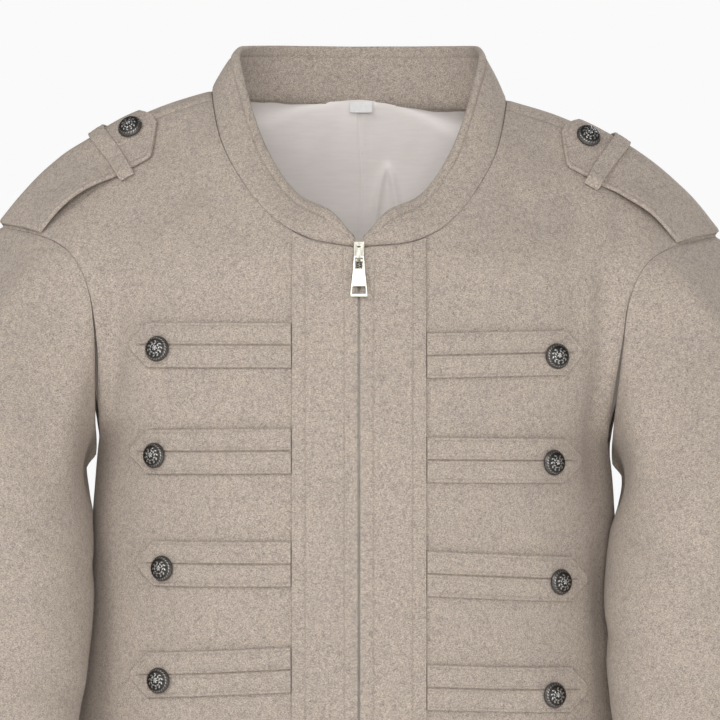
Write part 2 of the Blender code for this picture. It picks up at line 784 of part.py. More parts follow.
def tube_faces(around, rings):
    """Faces of a closed tube of point rings."""
    faces = [tuple(range(around)), tuple(range((rings - 1) * around, rings * around))]
    for ring in range(rings - 1):
        for k in range(around):
            a = ring * around + k
            b = ring * around + (k + 1) % around
            faces.append((a, b, b + around, a + around))
    return faces


def prism(name, outline, low, high, look, matrix):
    """Outline of (x, z) points pushed along local Y from low to high."""
    points = [(x, y, z) for y in (low, high) for x, z in outline]
    return solid(name, points, tube_faces(len(outline), 2), look, matrix)


def make_zip_box():
    """Pin and box that close the zip at the hem."""
    tape_out = -WOOL - TAPE_GAP
    rib = ZIP_EDGE - 0.25
    half = ZIP_BOX_SIZE[0] / 2
    outline = (
        (-half, tape_out - 1.6),
        (half, tape_out - 1.6),
        (half, tape_out),
        (rib, tape_out),
        (rib, TEETH_TOP + 0.4),
        (-rib, TEETH_TOP + 0.4),
        (-rib, tape_out),
        (-half, tape_out),
    )
    tall = ZIP_BOX_SIZE[1] / 2
    prism("zip_box", outline, -tall, tall, silver, zip_frame(ZIP_BOX_Z))


def join(thing, other):
    """Unites two overlapping solids into the first."""
    modifier = thing.modifiers.new("join " + other.name, "BOOLEAN")
    modifier.operation = "UNION"
    modifier.object = other
    other.hide_render = True
    other.display_type = "WIRE"


def make_slider():
    """Slider body: plate on the bands, neck in the slit, and the bridge that holds the pull."""
    frame = zip_frame(SLIDER_Z)
    plate_low = LIFT + PLACKET + 0.5
    plate_high = plate_low + SLIDER_PLATE
    axis = plate_high + PULL_AXIS_HEIGHT
    plate_outline = ((-4.1, plate_low), (4.1, plate_low), (3.6, plate_high), (-3.6, plate_high))
    slider = prism("zip_slider", plate_outline, -2.9, 11.0, silver, frame)
    neck_outline = ((-1.1, 1.4), (1.1, 1.4), (1.1, plate_low + 0.5), (-1.1, plate_low + 0.5))
    join(slider, prism("zip_slider_neck", neck_outline, -2.0, 10.0, silver, frame))
    # bridge, drawn in the plane of (up, out) and pushed across
    inside = axis + 1.5
    outline = (
        (-2.7, plate_high - 0.5),
        (-1.3, plate_high - 0.5),
        (-1.3, inside - 0.4),
        (-0.7, inside),
        (5.2, inside),
        (5.9, inside - 0.7),
        (5.9, plate_high - 0.5),
        (7.3, plate_high - 0.5),
        (7.3, inside - 0.2),
        (5.9, inside + 1.3),
        (-1.4, inside + 1.3),
        (-2.7, inside - 0.1),
    )
    points = [(x, up, out) for x in (-1.15, 1.15) for up, out in outline]
    bridge = solid("zip_slider_bridge", points, tube_faces(len(outline), 2), silver, frame)
    join(slider, bridge)
    return axis


def make_pull(axis):
    """Pull tab. Its origin is on the axis of its upper bar, which lies inside the bridge."""
    # distance below the axis, half width, half width of the opening
    rows = (
        (-0.8, 3.8, 2.4),
        (0.8, 3.9, 2.4),
        (8.4, 4.2, 2.4),
        (15.0, 4.9, 3.6),
        (21.0, 5.5, 4.3),
        (26.2, 6.0, 4.7),
        (28.4, 6.2, 4.9),
    )
    grid = np.array([[(x, -down, 0) for x in (-w, -h, h, w)] for down, w, h in rows], float)
    thick = np.array([0, 0, PULL / 2])
    frame = zip_frame(SLIDER_Z) @ Matrix.Translation((0, 0, axis * MM))
    openings = ((1, 1), (4, 1))
    return wall("zip_pull", [(grid + thick, grid - thick)], silver, openings, frame)


def make_trim(label, side):
    """Tabs, epaulet, loop and buttons of one side."""
    rows = [row for row in TABS if row[0] == label]
    for number, (_, z_band, z_point, x_point, x_button, z_button) in enumerate(rows, 1):
        make_tab(f"tab_{label}_{number}", side, z_band, z_point, x_point)
        s, t = on_body(side, np.array(x_button), np.array(z_button), 4)
        make_button(f"button_{label}_{number}", seat(side, s, t, TAB_LIFT + TAB + BUTTON_GAP))
    make_epaulet(f"epaulet_{label}", side)
    make_loop(f"loop_{label}", side)
    s = np.array(EPAULET_BUTTON)
    t = around_shoulder(side, s, EPAULET_MIDDLE)
    out = 2 * LIFT + EPAULET + BUTTON_GAP
    make_button(f"epaulet_button_{label}", seat(side, s, t, out))


def main():
    for thing in list(bpy.data.objects):
        bpy.data.objects.remove(thing)
    make_back()
    make_lining()
    make_label()
    make_collar()
    for label, side in SIDES.items():
        make_front(f"front_{label}", side)
        make_sleeve(f"sleeve_{label}", side)
        make_placket(f"placket_{label}", side)
        make_zip_side(f"zip_{label}", side)
        make_trim(label, side)
    make_zip_box()
    axis = make_slider()
    make_pull(axis)


main()
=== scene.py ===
"""Looks of the napoleon jacket: cloth, stitches, buttons, zip, light and camera.

Sizes and tables are in millimetres, as in the solids' source, and MM turns them into metres.
The body is drawn as one even half, and hang() puts it on its side: side -1 is the viewer's left.
"""
import math

import bpy
import numpy as np
from mathutils import Matrix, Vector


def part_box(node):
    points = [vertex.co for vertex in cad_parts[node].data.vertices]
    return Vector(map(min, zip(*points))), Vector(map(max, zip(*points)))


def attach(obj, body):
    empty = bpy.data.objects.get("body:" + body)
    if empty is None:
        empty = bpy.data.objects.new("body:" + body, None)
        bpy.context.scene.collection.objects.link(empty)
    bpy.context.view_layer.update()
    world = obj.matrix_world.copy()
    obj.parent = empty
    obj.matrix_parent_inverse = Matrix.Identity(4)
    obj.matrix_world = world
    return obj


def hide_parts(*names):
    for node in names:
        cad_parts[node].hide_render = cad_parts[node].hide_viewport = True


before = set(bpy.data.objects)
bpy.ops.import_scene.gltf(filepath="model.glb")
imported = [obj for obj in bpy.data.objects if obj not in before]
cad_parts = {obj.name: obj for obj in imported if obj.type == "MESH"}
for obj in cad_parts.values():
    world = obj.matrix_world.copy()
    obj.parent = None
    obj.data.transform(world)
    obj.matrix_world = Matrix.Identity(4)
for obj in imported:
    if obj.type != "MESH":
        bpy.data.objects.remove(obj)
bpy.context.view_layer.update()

MM = 0.001
SIDES = {"left": -1, "right": 1}
BODY = "jacket"
PULL_BODY = "pull_tab"

# Cloth and seams, as in the solids
WOOL = 2.2
SEAM = 0.3
LIFT = 0.5
TAB_LIFT = 0.8
PLACKET = 1.9
TAB = 2.6
COLLAR = 3.4
EPAULET = 3.0
LINING = 1.0
LINING_GAP = 1.2
LABEL = 0.28
LABEL_FOLD = 0.45

# Rows of the body, from the front hem over the shoulder to the back hem
# near x, y, z | far x, y, z | leaving turn, drop, reach | arriving turn, drop, reach
BODY_ROWS = (
    (0, -122, -520, 210, 0, -520, 0, 0, 410, 90, 0, 183),
    (0, -121, -435, 203, 0, -435, 0, 0, 396, 90, 0, 180),
    (0, -120, -350, 195, 0, -350, 0, 0, 380, 90, 0, 178),
    (0, -118, -265, 190, 0, -265, 0, 0, 370, 90, 0, 177),
    (0, -114, -210, 187, -42, -237, 0, 4, 300, 60, 0, 120),
    (0, -109, -163, 186, -61, -195, 0, 6, 250, 30, 0, 130),
    (0, -101, -117.5, 189, -64, -158, 0, 4, 215, 20, 8, 140),
    (30, -98.5, -112.5, 196, -60, -134, 6, 6, 190, 15, 15, 140),
    (54.5, -90, -100.5, 207, -52, -118, 14, 9, 170, 10, 26, 140),
    (82.5, -67, -70, 222, -39, -109, 20, 14, 155, 8, 38, 140),
    (100.5, -38, -34, 241, -19, -103, 20, 15, 160, 4, 46, 165),
    (107.5, 5, 0, 261, 8, -99, 0, 16, 215, 0, 50, 225),
    (99, 33, 3, 259, 34, -104, 6, 14, 205, -4, 50, 205),
    (66, 60, 2, 246, 55, -116, 14, 12, 215, -16, 42, 180),
    (0, 75, -0.5, 230, 65, -136, 0, 0, 235, -22, 26, 160),
    (0, 99, -62, 215, 66, -167, 0, 0, 240, -30, 8, 150),
    (0, 115, -130, 203, 57, -203, 0, 0, 265, -44, 0, 140),
    (0, 121, -200, 194, 34, -241, 0, 0, 310, -68, 0, 130),
    (0, 120, -265, 190, 0, -265, 0, 0, 370, -90, 0, 180),
    (0, 114, -350, 195, 0, -350, 0, 0, 380, -90, 0, 171),
    (0, 110, -435, 203, 0, -435, 0, 0, 396, -90, 0, 165),
    (0, 111, -520, 210, 0, -520, 0, 0, 410, -90, 0, 167),
)
HEM_ROW = 0
ARMPIT_ROW = 3
NECK_ROW = 6
SHOULDER_SEAM_ROW = 10.65
SHOULDER_TOP_ROW = 11
BACK_NECK_ROW = 14
BACK_ARMPIT_ROW = 18
BACK_HEM_ROW = 21
SHOULDER_LENGTH = 175
ROW_LENGTH = 40

# The collar's upper edge, from the centre front to the centre back: x, y, z
COLLAR_TOP = (
    (3.5, -99, -109.5),
    (20, -90, -90),
    (38.5, -74, -79),
    (60, -54, -46),
    (75.5, -24, -2),
    (84, 8, 32),
    (80, 37, 38.5),
    (58, 64, 40),
    (0, 80, 38.5),
)
COLLAR_CURVE = 1.6
COLLAR_SEAM = 0.016
COLLAR_MITRE = 0.05
# How far the collar's upper edge lies outward and up from its even place, by side
COLLAR_SETTLE = {-1: (4.5, -2.5), 1: (5.0, 4.5)}

# Sleeve sections: centre x, y, z | half width, half depth | lean
SLEEVE_RINGS = (
    (251, -38, -290, 58, 69, 20),
    (253, -49, -350, 57, 66, 12),
    (257, -60, -420, 55.5, 63, 6),
    (262, -70, -495, 54, 60, 2),
    (266, -80, -570, 50, 57, 0),
    (270, -90, -640, 47, 54, 0),
)
# How far an arm lies closer to the body than its solid, by side
ARM_CLOSER = {-1: 4.5, 1: 8.5}
CAP_REACH = 0.38
CAP_PART = 0.3

RIGHT_DROP = 7
RIGHT_TUCK = 7

# Folds of the body, the largest as in the solids, then finer creases
# side, face | upper x, z | lower x, z | half width, depth
BODY_FOLDS = (
    (-1, -1, 174, -75, 174, -235, 9, 3.5),
    (1, -1, 173, -85, 176, -310, 10, 6.0),
    (1, -1, 177, -290, 190, -520, 9, 4.0),
    (-1, 1, 150, -95, 176, -300, 16, 7.0),
    (1, 1, 154, -90, 172, -320, 15, 6.0),
    (-1, 1, 92, -330, 128, -540, 17, 5.0),
    (1, 1, 84, -350, 104, -540, 15, 4.0),
    (-1, 1, 34, -20, 66, -150, 15, 3.0),
)
BODY_CREASES = (
    (-1, -1, 161, -62, 162, -205, 12, 3.6),
    (-1, -1, 176, -120, 178, -300, 11, 3.0),
    (-1, -1, 112, -58, 148, -112, 9, 1.5),
    (-1, -1, 96, -395, 128, -540, 15, 2.2),
    (-1, -1, 66, -150, 80, -250, 14, 0.9),
    (1, -1, 183, -70, 188, -170, 9, 3.2),
    (1, -1, 152, -58, 158, -190, 13, 3.0),
    (1, -1, 104, -60, 138, -104, 9, 1.4),
    (1, -1, 92, -215, 84, -345, 15, 1.0),
    (1, -1, 88, -400, 104, -540, 14, 2.1),
    (-1, 1, 60, -150, 120, -215, 12, 2.2),
    (1, 1, 48, -130, 112, -190, 12, 2.0),
    (-1, 1, 150, -330, 168, -470, 11, 2.6),
    (1, 1, 140, -320, 150, -440, 11, 2.2),
    (-1, 1, 20, -300, 36, -460, 16, 1.4),
    (1, 1, 30, -210, 24, -330, 15, 1.3),
)

# Folds round the sleeves, the largest as in the solids, then finer creases
# side | turn, fall along the arm | spread in turn, spread along | slope, depth
SLEEVE_FOLDS = (
    (-1, 120, 0.56, 62, 0.030, 0.05, 4.5),
    (-1, 150, 0.66, 55, 0.026, -0.04, 4.0),
    (-1, 95, 0.80, 70, 0.030, 0.06, 3.5),
    (1, 125, 0.53, 60, 0.030, -0.05, 4.5),
    (1, 140, 0.64, 66, 0.028, 0.05, 4.0),
    (1, 100, 0.78, 60, 0.030, -0.05, 3.5),
    (-1, 250, 0.60, 50, 0.034, 0.04, 3.5),
    (1, 245, 0.68, 55, 0.034, -0.04, 3.5),
)
SLEEVE_CREASES = (
    (-1, 155, 0.55, 40, 0.20, 0.0, -6.5),
    (-1, 155, 0.90, 40, 0.24, 0.0, -5.0),
    (1, 155, 0.50, 42, 0.20, 0.0, -11.0),
    (1, 155, 0.85, 42, 0.24, 0.0, -7.0),
    (-1, 110, 0.33, 45, 0.022, 0.05, 1.6),
    (-1, 140, 0.44, 50, 0.020, -0.06, 1.8),
    (-1, 60, 0.50, 45, 0.024, 0.07, 1.2),
    (-1, 100, 0.71, 60, 0.018, 0.05, 1.8),
    (-1, 130, 0.90, 70, 0.020, -0.05, 1.7),
    (-1, 240, 0.36, 50, 0.024, 0.05, 2.0),
    (-1, 300, 0.50, 55, 0.022, -0.05, 1.6),
    (-1, 230, 0.78, 60, 0.022, 0.05, 2.0),
    (1, 120, 0.34, 45, 0.022, -0.05, 1.8),
    (1, 95, 0.45, 50, 0.022, 0.06, 1.4),
    (1, 60, 0.58, 50, 0.022, -0.06, 1.3),
    (1, 120, 0.71, 55, 0.018, -0.05, 1.8),
    (1, 140, 0.88, 65, 0.020, 0.05, 1.7),
    (1, 235, 0.42, 50, 0.024, -0.05, 2.0),
    (1, 290, 0.56, 55, 0.022, 0.05, 1.6),
    (1, 240, 0.82, 60, 0.022, -0.05, 1.8),
)

# Front bands and tabs
PLACKET_WIDTH = 46.5
PLACKET_TOP_GAP = 1.2
PLACKET_HEM_Z = -519
PLACKET_STITCH = 9.6
ZIP_EDGE = 1.5
TAB_WIDTH = 31.4
TAB_POINT = 12.5
TAB_ROUND = 2.6
TAB_STITCH = 2.5
SLIT_END = 6.0
SLIT_DEPTH = 1.5
# side | z at band, z at point, x of point | button x, z
TABS = (
    ("left", -186.0, -185.5, 160.3, 139.2, -188.6),
    ("left", -258.9, -260.5, 159.9, 140.6, -263.0),
    ("left", -336.8, -338.4, 155.0, 134.7, -341.4),
    ("left", -409.6, -417.0, 159.2, 137.5, -419.6),
    ("right", -193.2, -190.7, 156.4, 136.8, -193.8),
    ("right", -265.0, -266.8, 156.0, 133.9, -267.9),
    ("right", -343.3, -350.3, 159.6, 138.7, -351.2),
    ("right", -421.6, -427.5, 159.9, 134.2, -429.8),
)

# Buttons: radius and height of the turned outline, from the edge of the back to the crown
BUTTON_OUTLINE = ((7.6, 0.0), (8.9, 0.7), (9.0, 1.7), (8.3, 3.0), (6.4, 4.6), (3.4, 5.7), (0, 6.1))
BUTTON_GAP = 0.6

# Epaulets, measured forward (below 0) and back from the shoulder's top line
EPAULET_START = 0.235
EPAULET_END = 0.99
EPAULET_MIDDLE = -17
EPAULET_WIDTH = 66
EPAULET_FLARE = 4
EPAULET_POINT = 0.13
EPAULET_ARCH = 5.5
ARCH_START = 0.36
EPAULET_STITCH = 4.2
EPAULET_BUTTON = 0.345
LOOP_PLACE = 0.475
LOOP_WIDTH = 13.5
LOOP = 1.8

# Zip
TAPE_WIDTH = 12
TAPE = 0.8
TAPE_GAP = 0.8
ZIP_Z = (-506, -119.5)
TOOTH_PITCH = 1.6
SLIDER_Z = -125.6
PULL_AXIS_OUT = 6.4
PULL = 1.5

# Grid steps: how far the extra lines lie from an edge, and the usual step over the cloth
EDGE_STEPS = (0, 0.45, 1.0, 1.7, 2.6, 3.8)
CLOTH_STEP = 3.4

# Sewing
STITCH_LENGTH = 2.9
STITCH_GAP = 0.9
STITCH_RADIUS = 0.26

# Camera: millimetres a pixel at the front, distance from there, and height
PIXEL = 0.69
CAMERA_DISTANCE = 2300
CAMERA_X = 0.69
CAMERA_Z = -196
FRONT_Y = -118


# Curves and surfaces, as in the solids

def hermite(start, end, leaving, arriving, part):
    """Point of a cubic curve from start to end, with the given velocities at its ends."""
    span = end - start
    squared = 3 * span - 2 * leaving - arriving
    cubed = leaving + arriving - 2 * span
    return start + part * (leaving + part * (squared + part * cubed))


def smooth_rows(table, place, breaks=()):
    """Table values at fractional row numbers, on cubics that never overshoot. A break is a corner."""
    table = np.asarray(table, float)
    steps = np.diff(table, axis=0)
    product = steps[:-1] * steps[1:]
    total = np.where(product > 0, steps[:-1] + steps[1:], 1)
    slopes = np.where(product > 0, 2 * product / total, 0)
    starts = np.vstack([steps[:1], slopes])
    ends = np.vstack([slopes, steps[-1:]])
    for row in breaks:
        starts[row] = steps[row]
        ends[row - 1] = steps[row - 1]
    place = np.clip(np.asarray(place, float), 0, len(steps))
    row = np.minimum(place.astype(int), len(steps) - 1)
    part = (place - row)[..., None]
    return hermite(table[row], table[row + 1], starts[row], ends[row], part)


def ease(value):
    """0 below 0, 1 above 1, and smooth between."""
    value = np.clip(value, 0, 1)
    return value * value * (3 - 2 * value)


def unit(vectors):
    return vectors / np.linalg.norm(vectors, axis=-1, keepdims=True)


def heading(turn, drop, reach):
    """Vector of length reach, turned from +X towards +Y and dropped below level, in degrees."""
    turn, drop = np.radians(turn), np.radians(drop)
    flat = np.cos(drop)
    return np.stack([np.cos(turn) * flat, np.sin(turn) * flat, -np.sin(drop)], -1) * reach[..., None]


ROWS = np.array(BODY_ROWS, float)
NEAR = ROWS[:, 0:3]
FAR = ROWS[:, 3:6]
LEAVING = heading(ROWS[:, 6], ROWS[:, 7], ROWS[:, 8])
ARRIVING = heading(ROWS[:, 9], ROWS[:, 10], ROWS[:, 11])


def round_neck(table, place, breaks=()):
    """Rows that end at the centre back, run on into their mirror image so that they meet smoothly."""
    mirrored = table[-2:-1] * (-1, 1, 1)
    return smooth_rows(np.vstack([table, mirrored]), place, breaks)


def neckline(t):
    neck = round_neck(NEAR[: BACK_NECK_ROW + 1], np.minimum(t, BACK_NECK_ROW), (NECK_ROW,))
    centre_back = smooth_rows(NEAR[BACK_NECK_ROW:], t - BACK_NECK_ROW)
    return np.where((t > BACK_NECK_ROW)[..., None], centre_back, neck)


def armhole(t):
    return smooth_rows(FAR, t)


def body_half(s, t):
    """Plain outer face of the even half: s from near (0) to far (1), t the row number."""
    leaving = smooth_rows(LEAVING, t)
    arriving = smooth_rows(ARRIVING, t)
    return hermite(neckline(t), armhole(t), leaving, arriving, s[..., None])


def facing(surface, s, t, step=0.004):
    """Outward unit normal of a surface of (s, t), one-sided at the first and last row."""
    above = np.minimum(t + step, BACK_HEM_ROW)
    below = np.maximum(t - step, HEM_ROW)
    along_s = surface(s + step, t) - surface(s - step, t)
    along_t = surface(s, above) - surface(s, below)
    return unit(np.cross(along_s, along_t))


def ripple(points, wavelength, height, seed):
    """Soft unevenness of cloth: a few crossing waves, the same in every run."""
    random = np.random.default_rng(seed)
    total = np.zeros(points.shape[:-1])
    for _ in range(7):
        direction = unit(random.normal(size=3))
        rate = 2 * np.pi / (wavelength * random.uniform(0.7, 1.5))
        total += np.sin(points @ direction * rate + random.uniform(0, 2 * np.pi))
    return total * height / 3


def fold_depth(side, points):
    """How far the folds and creases of one side press the body in at these points."""
    depth = np.zeros(points.shape[:-1])
    for number, fold in enumerate(BODY_FOLDS + BODY_CREASES):
        fold_side, face, x_up, z_up, x_low, z_low, half_width, deep = fold
        if fold_side != side:
            continue
        run = np.array([x_low - x_up, z_low - z_up], float)
        length = np.linalg.norm(run)
        run = run / length
        offset_x = points[..., 0] - x_up
        offset_z = points[..., 2] - z_up
        along = (offset_x * run[0] + offset_z * run[1]) / length
        across = offset_x * run[1] - offset_z * run[0]
        if number >= len(BODY_FOLDS):
            across = across + 3 * np.sin(along * 5 + number)
        ends = ease(along / 0.25) * ease((1 - along) / 0.25)
        same_face = ease(points[..., 1] * face / 20)
        depth += deep * np.exp(-((across / half_width) ** 2)) * ends * same_face
    uneven = ripple(points, 95, 0.7, 5 + side) + ripple(points, 34, 0.16, 15 + side)
    return (depth + uneven) * ease(np.abs(points[..., 0]) / 40)


def hang(side, points):
    """Puts points of the even half on their side."""
    x, y, z = points[..., 0], points[..., 1], points[..., 2]
    if side < 0:
        return np.stack([-x, y, z], -1)
    drop = RIGHT_DROP * ease(x / 80)
    tuck = RIGHT_TUCK * ease((x - 120) / 60) * ease((-170 - z) / 80)
    return np.stack([x - tuck, y, z - drop], -1)


def body(side, s, t, out=0.0):
    """Point of the body's outer face, moved out by out, on its side."""
    s, t, out = np.broadcast_arrays(*(np.asarray(value, float) for value in (s, t, out)))

    def creased(s, t):
        plain = body_half(s, t)
        pressed = fold_depth(side, plain)[..., None]
        return plain - facing(body_half, s, t) * pressed

    points = creased(s, t)
    if np.any(out):
        points = points + facing(creased, s, t) * out[..., None]
    return hang(side, points)


def on_body(side, x, z, t_guess):
    """The s and t where the body's face has this x and z, x counted from the centre."""
    x, z = np.broadcast_arrays(np.asarray(x, float), np.asarray(z, float))
    s = x / 200
    t = np.full(x.shape, float(t_guess))
    step = 0.002
    for _ in range(12):
        here = body(side, s, t) * (side, 1, 1)
        by_s = (body(side, s + step, t) * (side, 1, 1) - here) / step
        by_t = (body(side, s, t + step) * (side, 1, 1) - here) / step
        miss_x = x - here[..., 0]
        miss_z = z - here[..., 2]
        area = by_s[..., 0] * by_t[..., 2] - by_s[..., 2] * by_t[..., 0]
        move_s = (miss_x * by_t[..., 2] - miss_z * by_t[..., 0]) / area
        move_t = (miss_z * by_s[..., 0] - miss_x * by_s[..., 2]) / area
        s = np.clip(s + np.clip(move_s, -0.1, 0.1), 0, 1)
        t = np.clip(t + np.clip(move_t, -0.6, 0.6), 0, BACK_HEM_ROW)
    return s, t


def around_shoulder(side, s, distance):
    """The row at a distance over the shoulder from its top line, back if above 0."""
    s, distance = np.broadcast_arrays(np.asarray(s, float), np.asarray(distance, float))
    places, inverse = np.unique(s, return_inverse=True)
    inverse = inverse.reshape(s.shape)
    fine = np.linspace(SHOULDER_TOP_ROW - 3, SHOULDER_TOP_ROW + 2, 101)
    lines = body(side, places[:, None], fine[None, :])
    lengths = np.linalg.norm(np.diff(lines, axis=1), axis=-1)
    result = np.empty(s.shape)
    for number in range(len(places)):
        walk = np.concatenate([[0], np.cumsum(lengths[number])])
        walk -= np.interp(SHOULDER_TOP_ROW, fine, walk)
        chosen = inverse == number
        result[chosen] = np.interp(distance[chosen], walk, fine)
    return result


def on_front(side, x, z, out):
    """Point in front of the body at this x and z, x counted from the centre."""
    s, t = on_body(side, x, z, 4)
    return body(side, s, t, out)


def sleeve_ring(turn, ring):
    values = smooth_rows(SLEEVE_RINGS, ring)
    angle = 2 * np.pi * turn
    x = values[..., 0] + values[..., 3] * np.cos(angle)
    y = values[..., 1] - values[..., 4] * np.sin(angle)
    z = values[..., 2] + values[..., 5] * np.cos(angle)
    return np.stack([x, y, z], -1)


def sleeve_half(turn, fall):
    """Outer face of a sleeve: turn 0 to 1 round from the top forward, fall 0 to 1 down the arm."""
    turn = turn % 1.0
    forward = turn <= 0.5
    row = np.where(
        forward,
        SHOULDER_TOP_ROW - 2 * turn * (SHOULDER_TOP_ROW - ARMPIT_ROW),
        BACK_ARMPIT_ROW - (2 * turn - 1) * (BACK_ARMPIT_ROW - SHOULDER_TOP_ROW),
    )
    start = armhole(row)
    outward = unit(smooth_rows(ARRIVING, row))
    normal = facing(body_half, np.full(row.shape, 0.999), row)
    under = unit(normal + np.array([0, 0, -0.9]))
    low = ease((-125 - start[..., 2]) / 95)[..., None]
    leaving = unit(outward * (1 - low) + under * low)
    start = start + leaving * SEAM
    ring = np.clip((fall - CAP_PART) / (1 - CAP_PART), 0, 1) * (len(SLEEVE_RINGS) - 1)
    below = sleeve_ring(turn, ring)
    first = sleeve_ring(turn, np.zeros(turn.shape))
    second = sleeve_ring(turn, np.full(turn.shape, 0.1))
    span = np.linalg.norm(first - start, axis=-1, keepdims=True)
    handle = 3 * CAP_REACH * span
    part = np.clip(fall / CAP_PART, 0, 1)[..., None]
    cap = hermite(start, first, leaving * handle, unit(second - first) * handle, part)
    return np.where((fall < CAP_PART)[..., None], cap, below)


def tube_facing(surface, turn, fall):
    """Outward normal of a sleeve, one-sided at its two ends."""
    step = 0.003
    low = np.maximum(fall - step, 0)
    high = np.minimum(fall + step, 1)
    around = surface(turn + step, fall) - surface(turn - step, fall)
    down = surface(turn, high) - surface(turn, low)
    return unit(np.cross(around, down))


def sleeve(side, turn, fall, out=0.0):
    """Point of a sleeve with its folds, moved out by out, on its side."""
    turn, fall, out = np.broadcast_arrays(*(np.asarray(value, float) for value in (turn, fall, out)))

    def creased(turn, fall):
        plain = sleeve_half(turn, fall)
        pressed = ripple(plain, 80, 0.9, 25 + side) + ripple(plain, 30, 0.2, 35 + side)
        pressed = pressed * ease(fall / 0.06)
        for fold_side, middle, place, wide, tall, slope, deep in SLEEVE_FOLDS + SLEEVE_CREASES:
            if fold_side != side:
                continue
            away = (turn * 360 - middle + 180) % 360 - 180
            line = place + slope * away / wide
            round_arm = np.exp(-((away / wide) ** 2))
            pressed = pressed + deep * round_arm * np.exp(-(((fall - line) / tall) ** 2))
        return plain - tube_facing(sleeve_half, turn, fall) * pressed[..., None]

    points = creased(turn, fall)
    if np.any(out):
        points = points + tube_facing(creased, turn, fall) * out[..., None]
    closer = ARM_CLOSER[side] * ease((fall - 0.12) / 0.35)
    return hang(side, points - closer[..., None] * np.array([1, 0, 0]))


def collar_half(v, t):
    """Outer face of the collar: v from the neck seam (0) to the upper edge (1), t a neckline row."""
    past = t > BACK_NECK_ROW
    t = np.where(past, 2 * BACK_NECK_ROW - t, t)
    low = neckline(t)
    high = round_neck(np.array(COLLAR_TOP, float), t - NECK_ROW)
    points = low + (high - low) * v[..., None]
    return points * np.where(past[..., None], (-1, 1, 1), (1, 1, 1))


def collar(side, v, t, out=0.0):
    """Point of the collar, moved out by out."""
    v, t, out = np.broadcast_arrays(*(np.asarray(value, float) for value in (v, t, out)))
    bulge = COLLAR_CURVE * 4 * v * (1 - v) + out
    points = collar_half(v, t)
    points = points - facing(collar_half, v, t) * bulge[..., None]
    outward, up = COLLAR_SETTLE[side]
    share = np.clip(v, 0, 1) ** 1.5 * ease(np.abs(points[..., 0]) / 80)
    points = points + share[..., None] * np.array([outward, 0, up])
    return hang(side, points)


# Grids and shells

def walked(points, axis):
    """Distance along a grid's lines, counted from their first point."""
    steps = np.linalg.norm(np.diff(points, axis=axis), axis=-1)
    total = np.cumsum(steps, axis=axis)
    return np.concatenate([np.zeros_like(np.take(total, [0], axis)), total], axis)


def edge_distances(points):
    """Distances from the first and last column, and from the first and last row."""
    across = walked(points, 1)
    along = walked(points, 0)
    return across, across[:, -1:] - across, along, along[-1:] - along


def rolled(distance, radius):
    """How far a face falls at a distance from its rounded edge."""
    part = np.clip(np.asarray(distance) / radius, 0, 1)
    return radius * (1 - np.sqrt(1 - (1 - part) ** 2))


def ditch(distance, depth=0.9, reach=3.2):
    """How far a face falls at a distance from a seam."""
    return depth * (1 - ease(distance / reach))


def groove(distance, place, depth=0.55, half_width=0.85):
    """How far a row of sewing pulls the cloth in, at a distance from the edge."""
    return depth * np.exp(-(((distance - place) / half_width) ** 2))


def spread(length, step=CLOTH_STEP, first=True, last=True, lines=()):
    """Places from 0 to 1 along a length: even steps, closer at the chosen ends and the lines."""
    close = np.array(EDGE_STEPS) / length
    start = close if first else np.array([0.0])
    end = 1 - close[::-1] if last else np.array([1.0])
    count = max(int((end[0] - start[-1]) * length / step), 1)
    even = np.linspace(start[-1], end[0], count + 1)
    places = np.concatenate([start[:-1], even, end[1:]])
    for line in lines:
        near = line / length + np.array([-1.6, -1.0, -0.5, 0, 0.5, 1.0, 1.6]) / length
        keep = (places < near[0] - 0.3 / length) | (places > near[-1] + 0.3 / length)
        places = np.concatenate([places[keep], near])
    return np.sort(places)


def grid_faces(rows, columns, closed=False):
    """Corner numbers of a grid's faces. A closed grid joins its last column to its first."""
    numbers = np.arange(rows * columns).reshape(rows, columns)
    if closed:
        numbers = np.concatenate([numbers, numbers[:, :1]], axis=1)
    corners = (numbers[:-1, :-1], numbers[:-1, 1:], numbers[1:, 1:], numbers[1:, :-1])
    return np.stack([corner.ravel() for corner in corners], -1)


def rim_faces(faces, count):
    """Faces that join the open edges of the outer sheet to those of the inner one."""
    starts = faces.ravel()
    ends = np.roll(faces, -1, axis=1).ravel()
    key = np.minimum(starts, ends) * count + np.maximum(starts, ends)
    _, place, times = np.unique(key, return_index=True, return_counts=True)
    place = place[times == 1]
    a, b = starts[place], ends[place]
    keep = a != b
    a, b = a[keep], b[keep]
    return np.stack([b, a, a + count, b + count], -1)


def link(thing, look):
    bpy.context.scene.collection.objects.link(thing)
    thing.data.materials.append(look)
    return thing


def mesh_piece(name, points, faces, look, sharp=50):
    """Object from points in millimetres and a list of faces."""
    mesh = bpy.data.meshes.new(name)
    mesh.from_pydata((np.asarray(points) * MM).tolist(), [], faces)
    mesh.shade_smooth()
    mesh.set_sharp_from_angle(angle=math.radians(sharp))
    return link(bpy.data.objects.new(name, mesh), look)


def shell(name, outer, inner, look, closed=False, faces=None):
    """Closed wall between two sheets of points."""
    if faces is None:
        faces = grid_faces(outer.shape[0], outer.shape[1], closed)
    outer = outer.reshape(-1, 3)
    inner = inner.reshape(-1, 3)
    count = len(outer)
    middle = outer[faces].mean(1) - inner[faces].mean(1)
    turned = np.cross(outer[faces[:, 2]] - outer[faces[:, 0]], outer[faces[:, 3]] - outer[faces[:, 1]])
    if (turned * middle).sum() < 0:
        faces = faces[:, ::-1]
    everything = np.concatenate([faces, faces[:, ::-1] + count, rim_faces(faces, count)])
    return mesh_piece(name, np.concatenate([outer, inner]), everything.tolist(), look)


